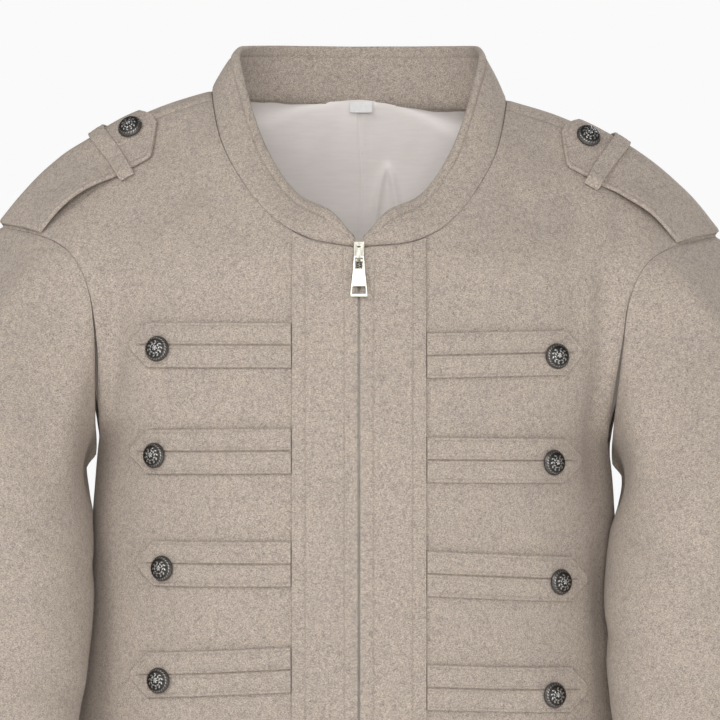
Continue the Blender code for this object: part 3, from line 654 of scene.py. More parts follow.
def sew_on(thing, node):
    """Attaches a cloth piece to its body and hides the CAD node that it stands for."""
    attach(thing, BODY)
    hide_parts(node)
    return thing


# Looks

def nodes_of(name):
    look = bpy.data.materials.new(name)
    look.use_nodes = True
    return look, look.node_tree, look.node_tree.nodes["Principled BSDF"]


def add(tree, kind, settings=(), **inputs):
    """New node with its settings and input values. An input that is a socket is linked."""
    node = tree.nodes.new(kind)
    for key, value in settings:
        setattr(node, key, value)
    for key, value in inputs.items():
        socket = node.inputs[int(key[1:])] if key[0] == "i" and key[1:].isdigit() else node.inputs[key]
        if isinstance(value, bpy.types.NodeSocket):
            tree.links.new(value, socket)
        else:
            socket.default_value = value
    return node


def object_place(tree, stretch=(1, 1, 1), turn=(0, 0, 0)):
    """Place in the object, stretched and turned, for textures that stay on the cloth."""
    place = add(tree, "ShaderNodeTexCoord").outputs["Object"]
    return add(tree, "ShaderNodeMapping", Vector=place, Scale=stretch, Rotation=turn).outputs[0]


def noise(tree, place, scale, detail=2.0, roughness=0.5):
    return add(
        tree, "ShaderNodeTexNoise", Vector=place, Scale=scale, Detail=detail, Roughness=roughness
    ).outputs["Fac"]


def ramp(tree, factor, stops):
    """Colour ramp with (place, colour) stops."""
    node = add(tree, "ShaderNodeValToRGB", Fac=factor)
    elements = node.color_ramp.elements
    while len(elements) < len(stops):
        elements.new(0.5)
    for element, (place, colour) in zip(elements, stops):
        element.position = place
        element.color = (*colour, 1)
    return node.outputs["Color"]


def mixed(tree, factor, first, second, kind="MIX"):
    settings = (("data_type", "RGBA"), ("blend_type", kind))
    node = add(tree, "ShaderNodeMix", settings, i0=factor, i6=first, i7=second)
    return node.outputs[2]


def combined(tree, first, second, kind="ADD"):
    return add(tree, "ShaderNodeMath", (("operation", kind),), i0=first, i1=second).outputs[0]


def bumped(tree, shader, height, distance, strength=1.0):
    bump = add(tree, "ShaderNodeBump", Height=height, Distance=distance, Strength=strength)
    tree.links.new(bump.outputs["Normal"], shader.inputs["Normal"])


def wool_look():
    """Felted melange wool: dark and light fibres at fibre scale, mottling and a soft nap."""
    look, tree, shader = nodes_of("wool")
    place = object_place(tree)
    fibres = noise(tree, object_place(tree, (1, 1, 0.5), (0.2, 0.5, 0.3)), 1900, 3, 0.75)
    crossed = noise(tree, object_place(tree, (0.45, 1, 1), (0.4, 0.1, 0.9)), 1600, 2, 0.7)
    mottle = noise(tree, place, 330, 2, 0.6)
    cloud = noise(tree, place, 28, 2, 0.5)
    tone = combined(tree, combined(tree, fibres, crossed), 0.5, "MULTIPLY")
    melange = ramp(tree, tone, (
        (0.33, (0.15, 0.125, 0.108)),
        (0.44, (0.33, 0.279, 0.238)),
        (0.53, (0.47, 0.402, 0.346)),
        (0.68, (0.68, 0.595, 0.52)),
    ))
    tint = ramp(tree, mottle, ((0.33, (0.84, 0.83, 0.84)), (0.5, (1, 1, 1)), (0.68, (1.06, 1.045, 1.02))))
    wide = ramp(tree, cloud, ((0.35, (0.97, 0.965, 0.965)), (0.65, (1.02, 1.015, 1.0))))
    colour = mixed(tree, 1.0, mixed(tree, 1.0, melange, tint, "MULTIPLY"), wide, "MULTIPLY")
    tree.links.new(colour, shader.inputs["Base Color"])
    shader.inputs["Roughness"].default_value = 0.95
    shader.inputs["Specular IOR Level"].default_value = 0.2
    shader.inputs["Sheen Weight"].default_value = 0.18
    shader.inputs["Sheen Roughness"].default_value = 0.6
    shader.inputs["Sheen Tint"].default_value = (0.95, 0.9, 0.84, 1)
    nap = combined(tree, combined(tree, tone, mottle), noise(tree, place, 700, 2, 0.6))
    bumped(tree, shader, nap, 0.0007, 0.6)
    return look


def satin_look():
    """Lining satin: fine ribs of thread under a soft gloss."""
    look, tree, shader = nodes_of("satin")
    place = object_place(tree)
    threads = add(tree, "ShaderNodeTexWave", (("bands_direction", "Z"),), Vector=place, Scale=420.0,
                  Distortion=1.5, Detail=1.0).outputs["Fac"]
    slub = noise(tree, object_place(tree, (0.3, 1, 3)), 160, 2, 0.6)
    tone = combined(tree, combined(tree, threads, 0.35, "MULTIPLY"), combined(tree, slub, 0.65, "MULTIPLY"))
    colour = ramp(tree, tone, ((0.2, (0.84, 0.785, 0.755)), (0.8, (0.93, 0.88, 0.85))))
    tree.links.new(colour, shader.inputs["Base Color"])
    shader.inputs["Roughness"].default_value = 0.42
    shader.inputs["Specular IOR Level"].default_value = 0.5
    shader.inputs["Sheen Weight"].default_value = 0.25
    shader.inputs["Sheen Roughness"].default_value = 0.35
    bumped(tree, shader, tone, 0.0001, 0.35)
    return look


def woven_look(name, dark, light, scale):
    """Plain weave of fine threads."""
    look, tree, shader = nodes_of(name)
    place = object_place(tree)
    over = add(tree, "ShaderNodeTexWave", (("bands_direction", "Z"),), Vector=place, Scale=scale).outputs["Fac"]
    across = add(tree, "ShaderNodeTexWave", (("bands_direction", "X"),), Vector=place, Scale=scale).outputs["Fac"]
    weave = combined(tree, over, across, "MULTIPLY")
    wear = noise(tree, place, 260, 2, 0.6)
    tone = combined(tree, combined(tree, weave, 0.5, "MULTIPLY"), combined(tree, wear, 0.5, "MULTIPLY"))
    tree.links.new(ramp(tree, tone, ((0.15, dark), (0.6, light))), shader.inputs["Base Color"])
    shader.inputs["Roughness"].default_value = 0.8
    bumped(tree, shader, weave, 0.0002, 0.5)
    return look


def thread_look():
    look, tree, shader = nodes_of("thread")
    twist = add(tree, "ShaderNodeTexWave", (("bands_direction", "DIAGONAL"),), Vector=object_place(tree),
                Scale=900.0, Distortion=1.0).outputs["Fac"]
    colour = ramp(tree, twist, ((0.2, (0.30, 0.25, 0.21)), (0.8, (0.46, 0.395, 0.335))))
    tree.links.new(colour, shader.inputs["Base Color"])
    shader.inputs["Roughness"].default_value = 0.75
    bumped(tree, shader, twist, 0.0001, 0.5)
    return look


def silver_look():
    """Antique silver: dark in the hollows of the ornament, worn bright on its ridges."""
    look, tree, shader = nodes_of("antique_silver")
    height = add(tree, "ShaderNodeAttribute", (("attribute_name", "relief"),)).outputs["Fac"]
    stain = noise(tree, object_place(tree), 900, 3, 0.65)
    worn = combined(tree, height, combined(tree, stain, 0.35, "MULTIPLY"))
    colour = ramp(tree, worn, (
        (0.24, (0.035, 0.032, 0.03)), (0.48, (0.17, 0.16, 0.15)), (0.85, (0.62, 0.61, 0.59)),
    ))
    tree.links.new(colour, shader.inputs["Base Color"])
    rough = add(tree, "ShaderNodeMapRange", i0=worn, i1=0.2, i2=0.9, i3=0.55, i4=0.26)
    tree.links.new(rough.outputs[0], shader.inputs["Roughness"])
    shader.inputs["Metallic"].default_value = 1.0
    bumped(tree, shader, stain, 0.00012, 0.4)
    return look


def metal_look(name, dark, light, roughness):
    """Cast and tumbled zip metal with faint scratches."""
    look, tree, shader = nodes_of(name)
    wear = noise(tree, object_place(tree, (1, 1, 0.15)), 700, 3, 0.6)
    tree.links.new(ramp(tree, wear, ((0.3, dark), (0.7, light))), shader.inputs["Base Color"])
    shader.inputs["Metallic"].default_value = 1.0
    shader.inputs["Roughness"].default_value = roughness
    bumped(tree, shader, wear, 0.00008, 0.3)
    return look


WOOL_LOOK = wool_look()
THREAD_LOOK = thread_look()
SATIN_LOOK = satin_look()
LABEL_LOOK = woven_look("label_weave", (0.78, 0.78, 0.77), (0.93, 0.93, 0.92), 900.0)
TAPE_LOOK = woven_look("zip_tape_weave", (0.16, 0.13, 0.11), (0.34, 0.285, 0.24), 700.0)
SILVER_LOOK = silver_look()
PULL_LOOK = metal_look("zip_pull_metal", (0.50, 0.485, 0.42), (0.68, 0.665, 0.60), 0.3)
SLIDER_LOOK = metal_look("zip_slider_metal", (0.22, 0.21, 0.18), (0.52, 0.50, 0.43), 0.28)
TOOTH_LOOK = metal_look("zip_teeth_metal", (0.20, 0.19, 0.17), (0.40, 0.38, 0.34), 0.4)


# Sewing

STITCHES = []


def stitch_along(points, outward, length=STITCH_LENGTH, gap=STITCH_GAP, radius=STITCH_RADIUS):
    """Notes a row of stitches along a line of points, each lying in the cloth's face."""
    steps = np.linalg.norm(np.diff(points, axis=0), axis=1)
    walk = np.concatenate([[0], np.cumsum(steps)])
    middles = np.arange(gap + length / 2, walk[-1] - length / 2, length + gap)
    if not len(middles):
        return
    at = np.stack([np.interp(middles, walk, points[:, k]) for k in range(3)], -1)
    ahead = np.stack([np.interp(middles + 1, walk, points[:, k]) for k in range(3)], -1)
    normal = unit(np.stack([np.interp(middles, walk, outward[:, k]) for k in range(3)], -1))
    along = unit(ahead - at)
    across = unit(np.cross(normal, along))
    STITCHES.append((at, along, across, np.cross(along, across), length, radius))


def make_stitches(name):
    """One piece of all the stitches noted so far."""
    corner = np.arange(6) * np.pi / 3
    rings = ((-0.5, 0.35, -0.55), (-0.3, 1.0, 0.1), (0.3, 1.0, 0.1), (0.5, 0.35, -0.55))
    points = []
    faces = []
    for at, along, across, out, length, radius in STITCHES:
        for centre, a, b, c in zip(at, along, across, out):
            base = len(points)
            for place, swell, lift in rings:
                middle = centre + a * place * length + c * lift * radius
                for angle in corner:
                    turn = b * math.cos(angle) + c * math.sin(angle)
                    points.append(middle + turn * radius * swell)
            for ring in range(3):
                for k in range(6):
                    low = base + ring * 6
                    high = low + 6
                    faces.append((low + k, low + (k + 1) % 6, high + (k + 1) % 6, high + k))
            faces.append(tuple(base + k for k in reversed(range(6))))
            faces.append(tuple(base + 18 + k for k in range(6)))
    STITCHES.clear()
    thing = mesh_piece(name, points, faces, THREAD_LOOK, 80)
    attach(thing, BODY)
    return thing


def stitch_on(place, out, *args):
    """Stitches along a line given by a function of out, such as a line on the body."""
    points = place(out)
    stitch_along(points, place(out + 1.0) - points, *args)


# Body pieces

def make_front(label, side):
    seam = SEAM / 2
    low = spread(265, last=False) * ARMPIT_ROW
    high = spread(270, first=False)
    rows = np.concatenate([low, ARMPIT_ROW + high[1:] * (SHOULDER_SEAM_ROW - ARMPIT_ROW)])
    rows[-1] -= seam / ROW_LENGTH
    reach = np.linalg.norm(smooth_rows(LEAVING, rows), axis=-1)
    start = ZIP_EDGE / reach * np.clip(NECK_ROW + 1 - rows, 0, 1)
    part = spread(235)[None, :]
    s = start[:, None] + (1 - seam / SHOULDER_LENGTH - start[:, None]) * part
    t = np.broadcast_to(rows[:, None], s.shape)
    plain = body(side, s, t)
    near, far, hem, shoulder = edge_distances(plain)
    necked = ease((t - NECK_ROW) / 0.3)
    fall = ditch(far) + ditch(shoulder, 0.7) + ditch(near) * necked
    fall = fall + rolled(near, 1.0) * (1 - necked) + rolled(hem, WOOL / 2)
    rise = rolled(hem, WOOL / 2) + rolled(near, 1.0) * (1 - necked)
    outer = body(side, s, t, -fall)
    inner = body(side, s, t, -WOOL + np.minimum(rise, WOOL / 2 - 0.05))
    thing = shell(f"cloth_front_{label}", outer, inner, WOOL_LOOK)
    sew_on(thing, f"front_{label}")


def half_faces(rows, columns, joined):
    """Faces of two halves that meet in their first columns, on the rows where joined is true."""
    left = np.arange(rows * columns).reshape(rows, columns)
    right = left + rows * columns
    right = np.where(joined[:, None] & (np.arange(columns) == 0), left, right)
    faces = []
    for numbers, turned in ((left, False), (right, True)):
        corners = [numbers[:-1, :-1], numbers[:-1, 1:], numbers[1:, 1:], numbers[1:, :-1]]
        if turned:
            corners.reverse()
        faces.append(np.stack([corner.ravel() for corner in corners], -1))
    return np.concatenate(faces)


def back_rows():
    """Rows of the back, closer at the shoulder seam and at the hem."""
    seam = SEAM / 2
    upper = spread(130, last=False) * (BACK_NECK_ROW - SHOULDER_SEAM_ROW) + SHOULDER_SEAM_ROW
    lower = spread(545, first=False) * (BACK_HEM_ROW - BACK_NECK_ROW) + BACK_NECK_ROW
    rows = np.concatenate([upper, lower[1:]])
    rows[0] += seam / ROW_LENGTH
    return rows


def make_back():
    rows = back_rows()
    columns = spread(230) * (1 - SEAM / 2 / SHOULDER_LENGTH)
    s, t = np.meshgrid(columns, rows)
    outer = []
    inner = []
    for side in SIDES.values():
        plain = body(side, s, t)
        near, far, shoulder, hem = edge_distances(plain)
        necked = ease((BACK_NECK_ROW - t) / 0.1 + 1)
        necked = np.where(t > BACK_NECK_ROW, 0, necked)
        above = np.abs(t - BACK_NECK_ROW) * 60
        centre = ditch(np.hypot(near, np.where(t > BACK_NECK_ROW, above, 0)))
        fall = ditch(far) + ditch(shoulder, 0.7) + np.maximum(ditch(near) * necked, centre * (t > BACK_NECK_ROW))
        fall = fall + rolled(hem, WOOL / 2)
        outer.append(body(side, s, t, -fall))
        inner.append(body(side, s, t, -WOOL + rolled(hem, WOOL / 2 - 0.05)))
    faces = half_faces(len(rows), len(columns), rows >= BACK_NECK_ROW - 1e-9)
    thing = shell("cloth_back", np.concatenate(outer), np.concatenate(inner), WOOL_LOOK, faces=faces)
    sew_on(thing, "back")


# Lining

LINING_SEAM_X = 0.9
LINING_SEAM_SWAY = 1.0
ARCH_X = 21
ARCH_TOP = -52
ARCH_HALF = 10
ARCH_TALL = 42


def lining_relief(points):
    """Height of the lining's soft folds: a pleated centre seam, an arch beside it and waves."""
    x, z = points[..., 0], points[..., 2]
    seam_x = LINING_SEAM_X + LINING_SEAM_SWAY * np.sin(z / 13)
    away = x - seam_x
    height = -0.9 * np.exp(-((away / 0.55) ** 2)) + 0.5 * np.exp(-(((away - 3.2) / 2.2) ** 2))
    reach = np.clip((ARCH_TOP - z) / ARCH_TALL, 0, 3)
    leg = ARCH_HALF * np.sqrt(reach) * 0.95
    beside = np.minimum(np.abs(x - ARCH_X - leg), np.abs(x - ARCH_X + leg))
    crown = np.hypot(x - ARCH_X, z - ARCH_TOP)
    arch = np.exp(-((np.where(z < ARCH_TOP, np.minimum(beside, crown), crown) / 3.0) ** 2))
    height = height + 2.2 * arch * ease((z + 190) / 70)
    height = height + ripple(points, 70, 0.8, 71) + ripple(points, 26, 0.28, 72)
    return height


def make_lining():
    rows = back_rows()
    rows = rows[(rows > SHOULDER_SEAM_ROW + 0.05) & (rows < BACK_HEM_ROW - 0.3)]
    columns = np.concatenate([np.linspace(0, 0.24, 64), np.linspace(0.24, 1 - SEAM / SHOULDER_LENGTH, 52)[1:]])
    s, t = np.meshgrid(columns, rows)
    outer = []
    inner = []
    for side in SIDES.values():
        base = body(side, s, t, -WOOL - LINING_GAP - LINING)
        near, far, first, last = edge_distances(base)
        calm = ease(far / 12) * ease(first / 8) * ease(last / 12)
        at_neck = np.where(t <= BACK_NECK_ROW, ease(near / 9), 1)
        centre = ease((t - BACK_NECK_ROW) * 60 / 9)
        calm = calm * np.where(t <= BACK_NECK_ROW, at_neck, np.maximum(centre, ease(near / 9)))
        relief = np.maximum(lining_relief(base) * calm, -0.75)
        outer.append(body(side, s, t, -WOOL - LINING_GAP))
        inner.append(body(side, s, t, -WOOL - LINING_GAP - LINING - relief))
    faces = half_faces(len(rows), len(columns), rows >= BACK_NECK_ROW - 1e-9)
    thing = shell("cloth_lining_back", np.concatenate(outer), np.concatenate(inner), SATIN_LOOK, faces=faces)
    sew_on(thing, "lining_back")


def make_label():
    """Bare size label, folded double and caught in the neck seam."""
    low, high = (np.array(corner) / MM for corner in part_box("size_label"))
    x = np.linspace(low[0], high[0], 9)
    leg = np.linspace(0, high[2] - low[2] - LABEL_FOLD, 6)
    bend = np.linspace(0, np.pi, 7)[1:-1]
    fall = np.concatenate([leg, leg[-1] + LABEL_FOLD * np.sin(bend), leg[::-1]])
    away = LABEL_FOLD * np.concatenate([np.full(6, 2), 1 + np.cos(bend), np.zeros(6)])
    curl = 0.25 * np.sin((x - x[0]) / 9)
    y = low[1] - 0.25 + away[:, None] + curl[None, :]
    z = np.broadcast_to(high[2] - fall[:, None], y.shape)
    grid = np.stack([np.broadcast_to(x, y.shape), y, z], -1)
    normal = unit(np.cross(np.gradient(grid, axis=1), np.gradient(grid, axis=0)))
    half = normal * LABEL / 2
    thing = shell("label_folded", grid + half, grid - half, LABEL_LOOK)
    sew_on(thing, "size_label")


# Sleeves

def make_sleeve(label, side):
    around = 112
    turn = np.arange(around) / around
    fall = np.concatenate([spread(180, last=False) * CAP_PART, CAP_PART + spread(390, first=False)[1:] * (1 - CAP_PART)])
    turn, fall = np.meshgrid(turn, fall)
    plain = sleeve(side, turn, fall)
    down = walked(plain, 0)
    left = down[-1:] - down
    underarm = np.abs((turn - 0.53) * 380)
    sunk = ditch(down) + rolled(left, WOOL / 2) + 0.7 * np.exp(-((underarm / 1.6) ** 2))
    outer = sleeve(side, turn, fall, -sunk)
    inner = sleeve(side, turn, fall, -WOOL + rolled(left, WOOL / 2 - 0.05))
    thing = shell(f"cloth_sleeve_{label}", outer, inner, WOOL_LOOK, closed=True)
    sew_on(thing, f"sleeve_{label}")


# Collar

COLLAR_STITCH = 8.6


def make_collar():
    t = np.concatenate([
        np.linspace(NECK_ROW, NECK_ROW + 1, 26)[:-1],
        np.linspace(NECK_ROW + 1, BACK_NECK_ROW, 84),
    ])
    t[0] += 0.06
    part = np.concatenate([np.linspace(0, 0.14, 6)[:-1], np.linspace(0.14, 0.62, 8)[:-1], np.linspace(0.62, 1, 24)])
    v = COLLAR_SEAM + (1 - COLLAR_SEAM) * part
    v, t = np.meshgrid(v, t)
    sheets = []
    for side in SIDES.values():
        plain = collar(side, v, t)
        low, high, _, _ = edge_distances(plain)
        tall = low[:, -1:]
        place = np.minimum(COLLAR_STITCH, tall * 0.45)
        end = walked(plain, 0)
        sewn = groove(high, place, 0.65, 1.0) * np.clip(tall / 18, 0.4, 1)
        puff = 0.55 * np.sin(np.pi * np.clip(high / place, 0, 1)) ** 1.5 * np.clip(tall / 25, 0.3, 1)
        wave = ripple(plain, 24, 0.16, 51) * ease(low / 4)
        edge = rolled(high, COLLAR / 2) + rolled(end, 1.4)
        fall = edge + sewn - puff + wave + ditch(low, 0.7, 2.4)
        v_inner = v + COLLAR_MITRE * (v == COLLAR_SEAM)
        rise = np.minimum(edge, COLLAR / 2) + 0.7 * sewn - 0.5 * puff
        outer = collar(side, v, t, -fall)
        inner = collar(side, v_inner, t, -COLLAR + rise)
        sheets.append((outer, inner, plain))
        line_t = t[2:-1, 0]
        line_v = 1 - place[2:-1, 0] / tall[2:-1, 0] * (1 - COLLAR_SEAM)
        for face, sign, depth in ((0.0, 1, 0.42), (-COLLAR, -1, 0.3)):

            def on_collar(out, face=face, sign=sign, depth=depth):
                return collar(side, line_v, line_t, face + sign * (out - depth))

            stitch_on(on_collar, 0.0)
    left, right = sheets
    outer, inner, plain = (np.concatenate([a, b[-2::-1]]) for a, b in zip(left, right))
    thing = shell("cloth_collar", outer, inner, WOOL_LOOK)
    sew_on(thing, "collar")


NECK_SEAM_BELOW = (5.5, 4.0, 2.6, 1.3, 0.3)
NECK_SEAM_ABOVE = (0.03, 0.07, 0.12, 0.17)


def make_neck_seam():
    """Seam allowance of the neck, turned inside between the collar and the lining."""
    t = np.linspace(NECK_ROW + 0.35, BACK_NECK_ROW, 110)
    edge = neckline(t)
    normal = facing(body_half, np.full(t.shape, 0.002), np.minimum(t, BACK_NECK_ROW - 0.03))
    down = unit(np.cross(normal, np.gradient(edge, axis=0)))
    up = collar_half(np.ones(t.shape), t) - edge
    down = down * -np.sign((down * up).sum(-1, keepdims=True))
    lined = ease((t - SHOULDER_SEAM_ROW) / 0.4)
    depth = (WOOL + 0.4 + (LINING_GAP + LINING + 0.2) * lined)[:, None]
    grids = []
    for side in SIDES.values():
        below = [hang(side, edge + down * fall - normal * depth) for fall in NECK_SEAM_BELOW]
        above = [collar(side, place, t, -COLLAR - 0.35) for place in NECK_SEAM_ABOVE]
        grids.append(np.stack(below + above, axis=1))
    grid = np.concatenate([grids[0], grids[1][-2::-1]])
    out = unit(np.cross(np.gradient(grid, axis=0), np.gradient(grid, axis=1)))
    out = out * np.sign((out * grid * (1, 1, 0)).sum(-1, keepdims=True))
    thing = shell("cloth_neck_seam", grid + out * 0.25, grid - out * 0.25, WOOL_LOOK)
    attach(thing, BODY)


# Bands beside the zip, and tabs

def neck_height(side, x):
    """Height of the neckline at this distance from the centre front."""
    rows = np.linspace(NECK_ROW, NECK_ROW + 3, 200)
    line = hang(side, neckline(rows))
    return np.interp(x, np.abs(line[:, 0]), line[:, 2])


BAND_EDGE = 0.55


def make_placket(label, side):
    """Band sewn beside the zip. Below the slider its edge closes over the teeth."""
    wide = PLACKET_WIDTH - BAND_EDGE
    part = spread(wide, 2.4, lines=(PLACKET_STITCH, wide - PLACKET_STITCH))
    down = spread(410, 3.0)[:, None]
    opened = ZIP_EDGE - BAND_EDGE
    z_edge = -112 + (PLACKET_HEM_Z + 112) * down[:, 0]
    edge = BAND_EDGE + opened * ease((z_edge + 146) / 14)
    x = edge[:, None] + (PLACKET_WIDTH - edge[:, None]) * part[None, :]
    top = neck_height(side, x) - PLACKET_TOP_GAP
    low = PLACKET_HEM_Z - (RIGHT_DROP * ease(x / 80) if side > 0 else 0)
    z = top + (low - top) * down
    s, t = on_body(side, x, z, 4)
    plain = body(side, s, t, LIFT + PLACKET)
    inside, outside, upper, lower = edge_distances(plain)
    sewn = groove(inside, PLACKET_STITCH) + groove(outside, PLACKET_STITCH) + groove(outside, 1.2, 0.25, 0.5)
    wave = ripple(plain, 30, 0.12, 61 + side)
    edges = rolled(inside, 0.9) + rolled(outside, 0.9) + rolled(lower, 0.9) + rolled(upper, 0.7)
    edges = np.minimum(edges, 1.0)
    out = LIFT + PLACKET - edges - sewn + wave
    outer = body(side, s, t, out)
    inner = body(side, s, t, LIFT + np.minimum(edges, 0.5))
    thing = shell(f"cloth_placket_{label}", outer, inner, WOOL_LOOK)
    sew_on(thing, f"placket_{label}")
    line = slice(2, -2)
    for place in (PLACKET_STITCH, wide - PLACKET_STITCH):
        column = np.argmin(np.abs(part * wide - place))
        height = out[line, column]

        def on_band(extra, column=column, height=height):
            return body(side, s[line, column], t[line, column], height + extra)

        stitch_on(on_band, 0.12)


def tab_frame(z_band, z_point, x_point, part, across):
    """x, z, and the distances from the outer edge and the middle, over one tab."""
    start = PLACKET_WIDTH + SEAM
    shoulder = x_point - TAB_POINT
    x = start + (x_point - start) * part
    middle = z_band + (z_point - z_band) * part
    taper = np.clip((x - shoulder) / TAB_POINT, 0, 1)
    half = TAB_WIDTH / 2 * (1 - taper) + TAB_ROUND * taper
    lean = np.where(x > shoulder, TAB_POINT / math.hypot(TAB_POINT, TAB_WIDTH / 2 - TAB_ROUND), 1)
    z = middle + half * across
    edge = (half - np.abs(half * across)) * lean
    edge = np.minimum(edge, (x_point - x) + 0.0 * z)
    return x, z, edge, np.abs(half * across)


def make_tab(label, number, side, z_band, z_point, x_point):
    """Pointed tab folded from one strip: a slit runs down its middle, almost to the point."""
    length = x_point - PLACKET_WIDTH - SEAM
    part = np.concatenate([
        np.linspace(0, 1 - 26 / length, 30)[:-1],
        np.linspace(1 - 26 / length, 1 - 2.5 / length, 22)[:-1],
        1 - np.array([2.5, 1.6, 1.0, 0.5, 0.15, 0]) / length,
    ])
    half = TAB_WIDTH / 2
    lines = np.array([0, 0.35, 0.8, 1.3, 1.9, 2.5, 3.1, 4.2, 6, 8, 10, 11.8, 12.6, 13.2, 13.8, 14.4, 14.9, 15.25, half])
    across = np.concatenate([-lines[:0:-1], lines]) / half
    part, across = np.meshgrid(part, across, indexing="ij")
    x, z, edge, middle = tab_frame(z_band, z_point, x_point, part, across)
    s, t = on_body(side, x, z, 4)
    slit_live = ease((x_point - SLIT_END - x) / 1.2)
    slit = SLIT_DEPTH * np.exp(-((middle / 0.55) ** 2)) * slit_live
    lips = 0.35 * np.exp(-(((middle - 1.3) / 0.9) ** 2)) * slit_live
    sewn = groove(edge, TAB_STITCH, 0.4, 0.7) + groove(middle, TAB_STITCH, 0.35, 0.6) * slit_live
    edges = rolled(edge, 1.1)
    wave = ripple(np.stack([x, z, 0 * x], -1), 22, 0.14, 80 + number + side)
    out = TAB_LIFT + TAB - edges - slit + lips - sewn + wave
    outer = body(side, s, t, out)
    inner = body(side, s, t, TAB_LIFT + 0.6 * np.minimum(edges, 0.8))
    thing = shell(f"cloth_tab_{label}_{number}", outer, inner, WOOL_LOOK)
    sew_on(thing, f"tab_{label}_{number}")
    stitch_tab(side, z_band, z_point, x_point)


def stitch_tab(side, z_band, z_point, x_point):
    """Rows of stitches round a tab's edge and on both sides of its slit."""
    length = x_point - PLACKET_WIDTH - SEAM
    half = TAB_WIDTH / 2
    height = TAB_LIFT + TAB - 0.28
    straight = np.linspace(1 / length, 1 - TAB_POINT / length, 24)
    slit = np.linspace(1 / length, 1 - (SLIT_END + 3) / length, 24)
    inward = TAB_STITCH / half
    for sign in (-1, 1):
        runs = [(straight, np.full(24, sign * (1 - inward))), (slit, np.full(24, sign * inward))]
        point = np.linspace(1 - TAB_POINT / length, 1 - 4.4 / length, 8)
        taper = (point * length - length + TAB_POINT) / TAB_POINT
        wide = half * (1 - taper) + TAB_ROUND * taper
        lean = math.hypot(TAB_POINT, half - TAB_ROUND) / TAB_POINT
        runs.append((point, sign * np.maximum(wide - TAB_STITCH * lean, 0.3) / wide))
        for part, across in runs:
            x, z, _, _ = tab_frame(z_band, z_point, x_point, part, across)
            s, t = on_body(side, x, z, 4)

            def on_tab(out, s=s, t=t):
                return body(side, s, t, out)

            stitch_on(on_tab, height)


# Epaulets and loops

def epaulet_lift(part, across):
    """How far the epaulet stands off the shoulder: it arches between loop and sleeve seam."""
    arch = np.sin(np.pi * np.clip((part - ARCH_START) / (1 - ARCH_START), 0, 1)) ** 1.2
    front = 0.35 + 0.65 * np.clip(-across, 0, 1)
    return 2 * LIFT + EPAULET_ARCH * arch * front


def epaulet_place(side, part, across):
    """The s and t of the epaulet: part 0 to 1 from its point to the sleeve, across -1 to 1."""
    s = EPAULET_START + (EPAULET_END - EPAULET_START) * part
    narrow = np.clip(part / EPAULET_POINT, 0, 1)
    half = EPAULET_WIDTH / 2 + EPAULET_FLARE * part
    distance = EPAULET_MIDDLE + across * half * (0.12 + 0.88 * narrow)
    return s, around_shoulder(side, s, distance)


def make_epaulet(label, side):
    part = spread(115, 2.6)
    across = spread(68, 2.2, lines=(EPAULET_STITCH, 68 - EPAULET_STITCH)) * 2 - 1
    part, across = np.meshgrid(part, across, indexing="ij")
    s, t = epaulet_place(side, part, across)
    lift = epaulet_lift(part, across)
    plain = body(side, s, t, lift + EPAULET)
    front, behind, point, far = edge_distances(plain)
    edge = np.minimum(np.minimum(front, behind), point)
    edges = rolled(edge, 1.4)
    sewn = groove(edge, EPAULET_STITCH, 0.5, 0.8) * ease(far / 4)
    wave = ripple(plain, 26, 0.18, 91 + side)
    out = lift + EPAULET - edges - sewn + wave - ditch(far, 0.5, 2.5)
    outer = body(side, s, t, out)
    inner = body(side, s, t, lift + 0.6 * edges)
    thing = shell(f"cloth_epaulet_{label}", outer, inner, WOOL_LOOK)
    sew_on(thing, f"epaulet_{label}")
    inward = 2 * EPAULET_STITCH / EPAULET_WIDTH
    for sign in (-1, 1):
        stretches = (np.linspace(EPAULET_POINT, 0.26, 12), np.linspace(0.4, 0.96, 30), np.linspace(0.045, EPAULET_POINT, 14))
        for run in stretches:
            narrow = np.clip(run / EPAULET_POINT, 0, 1)
            along = sign * (1 - inward / (0.12 + 0.88 * narrow))
            if np.any(along * sign < 0.05):
                along = sign * np.maximum(along * sign, 0.05)
            s_run, t_run = epaulet_place(side, run, along)
            base = epaulet_lift(run, along) + EPAULET - 0.36

            def on_epaulet(out, s_run=s_run, t_run=t_run, base=base):
                return body(side, s_run, t_run, base + out)

            stitch_on(on_epaulet, 0.0)


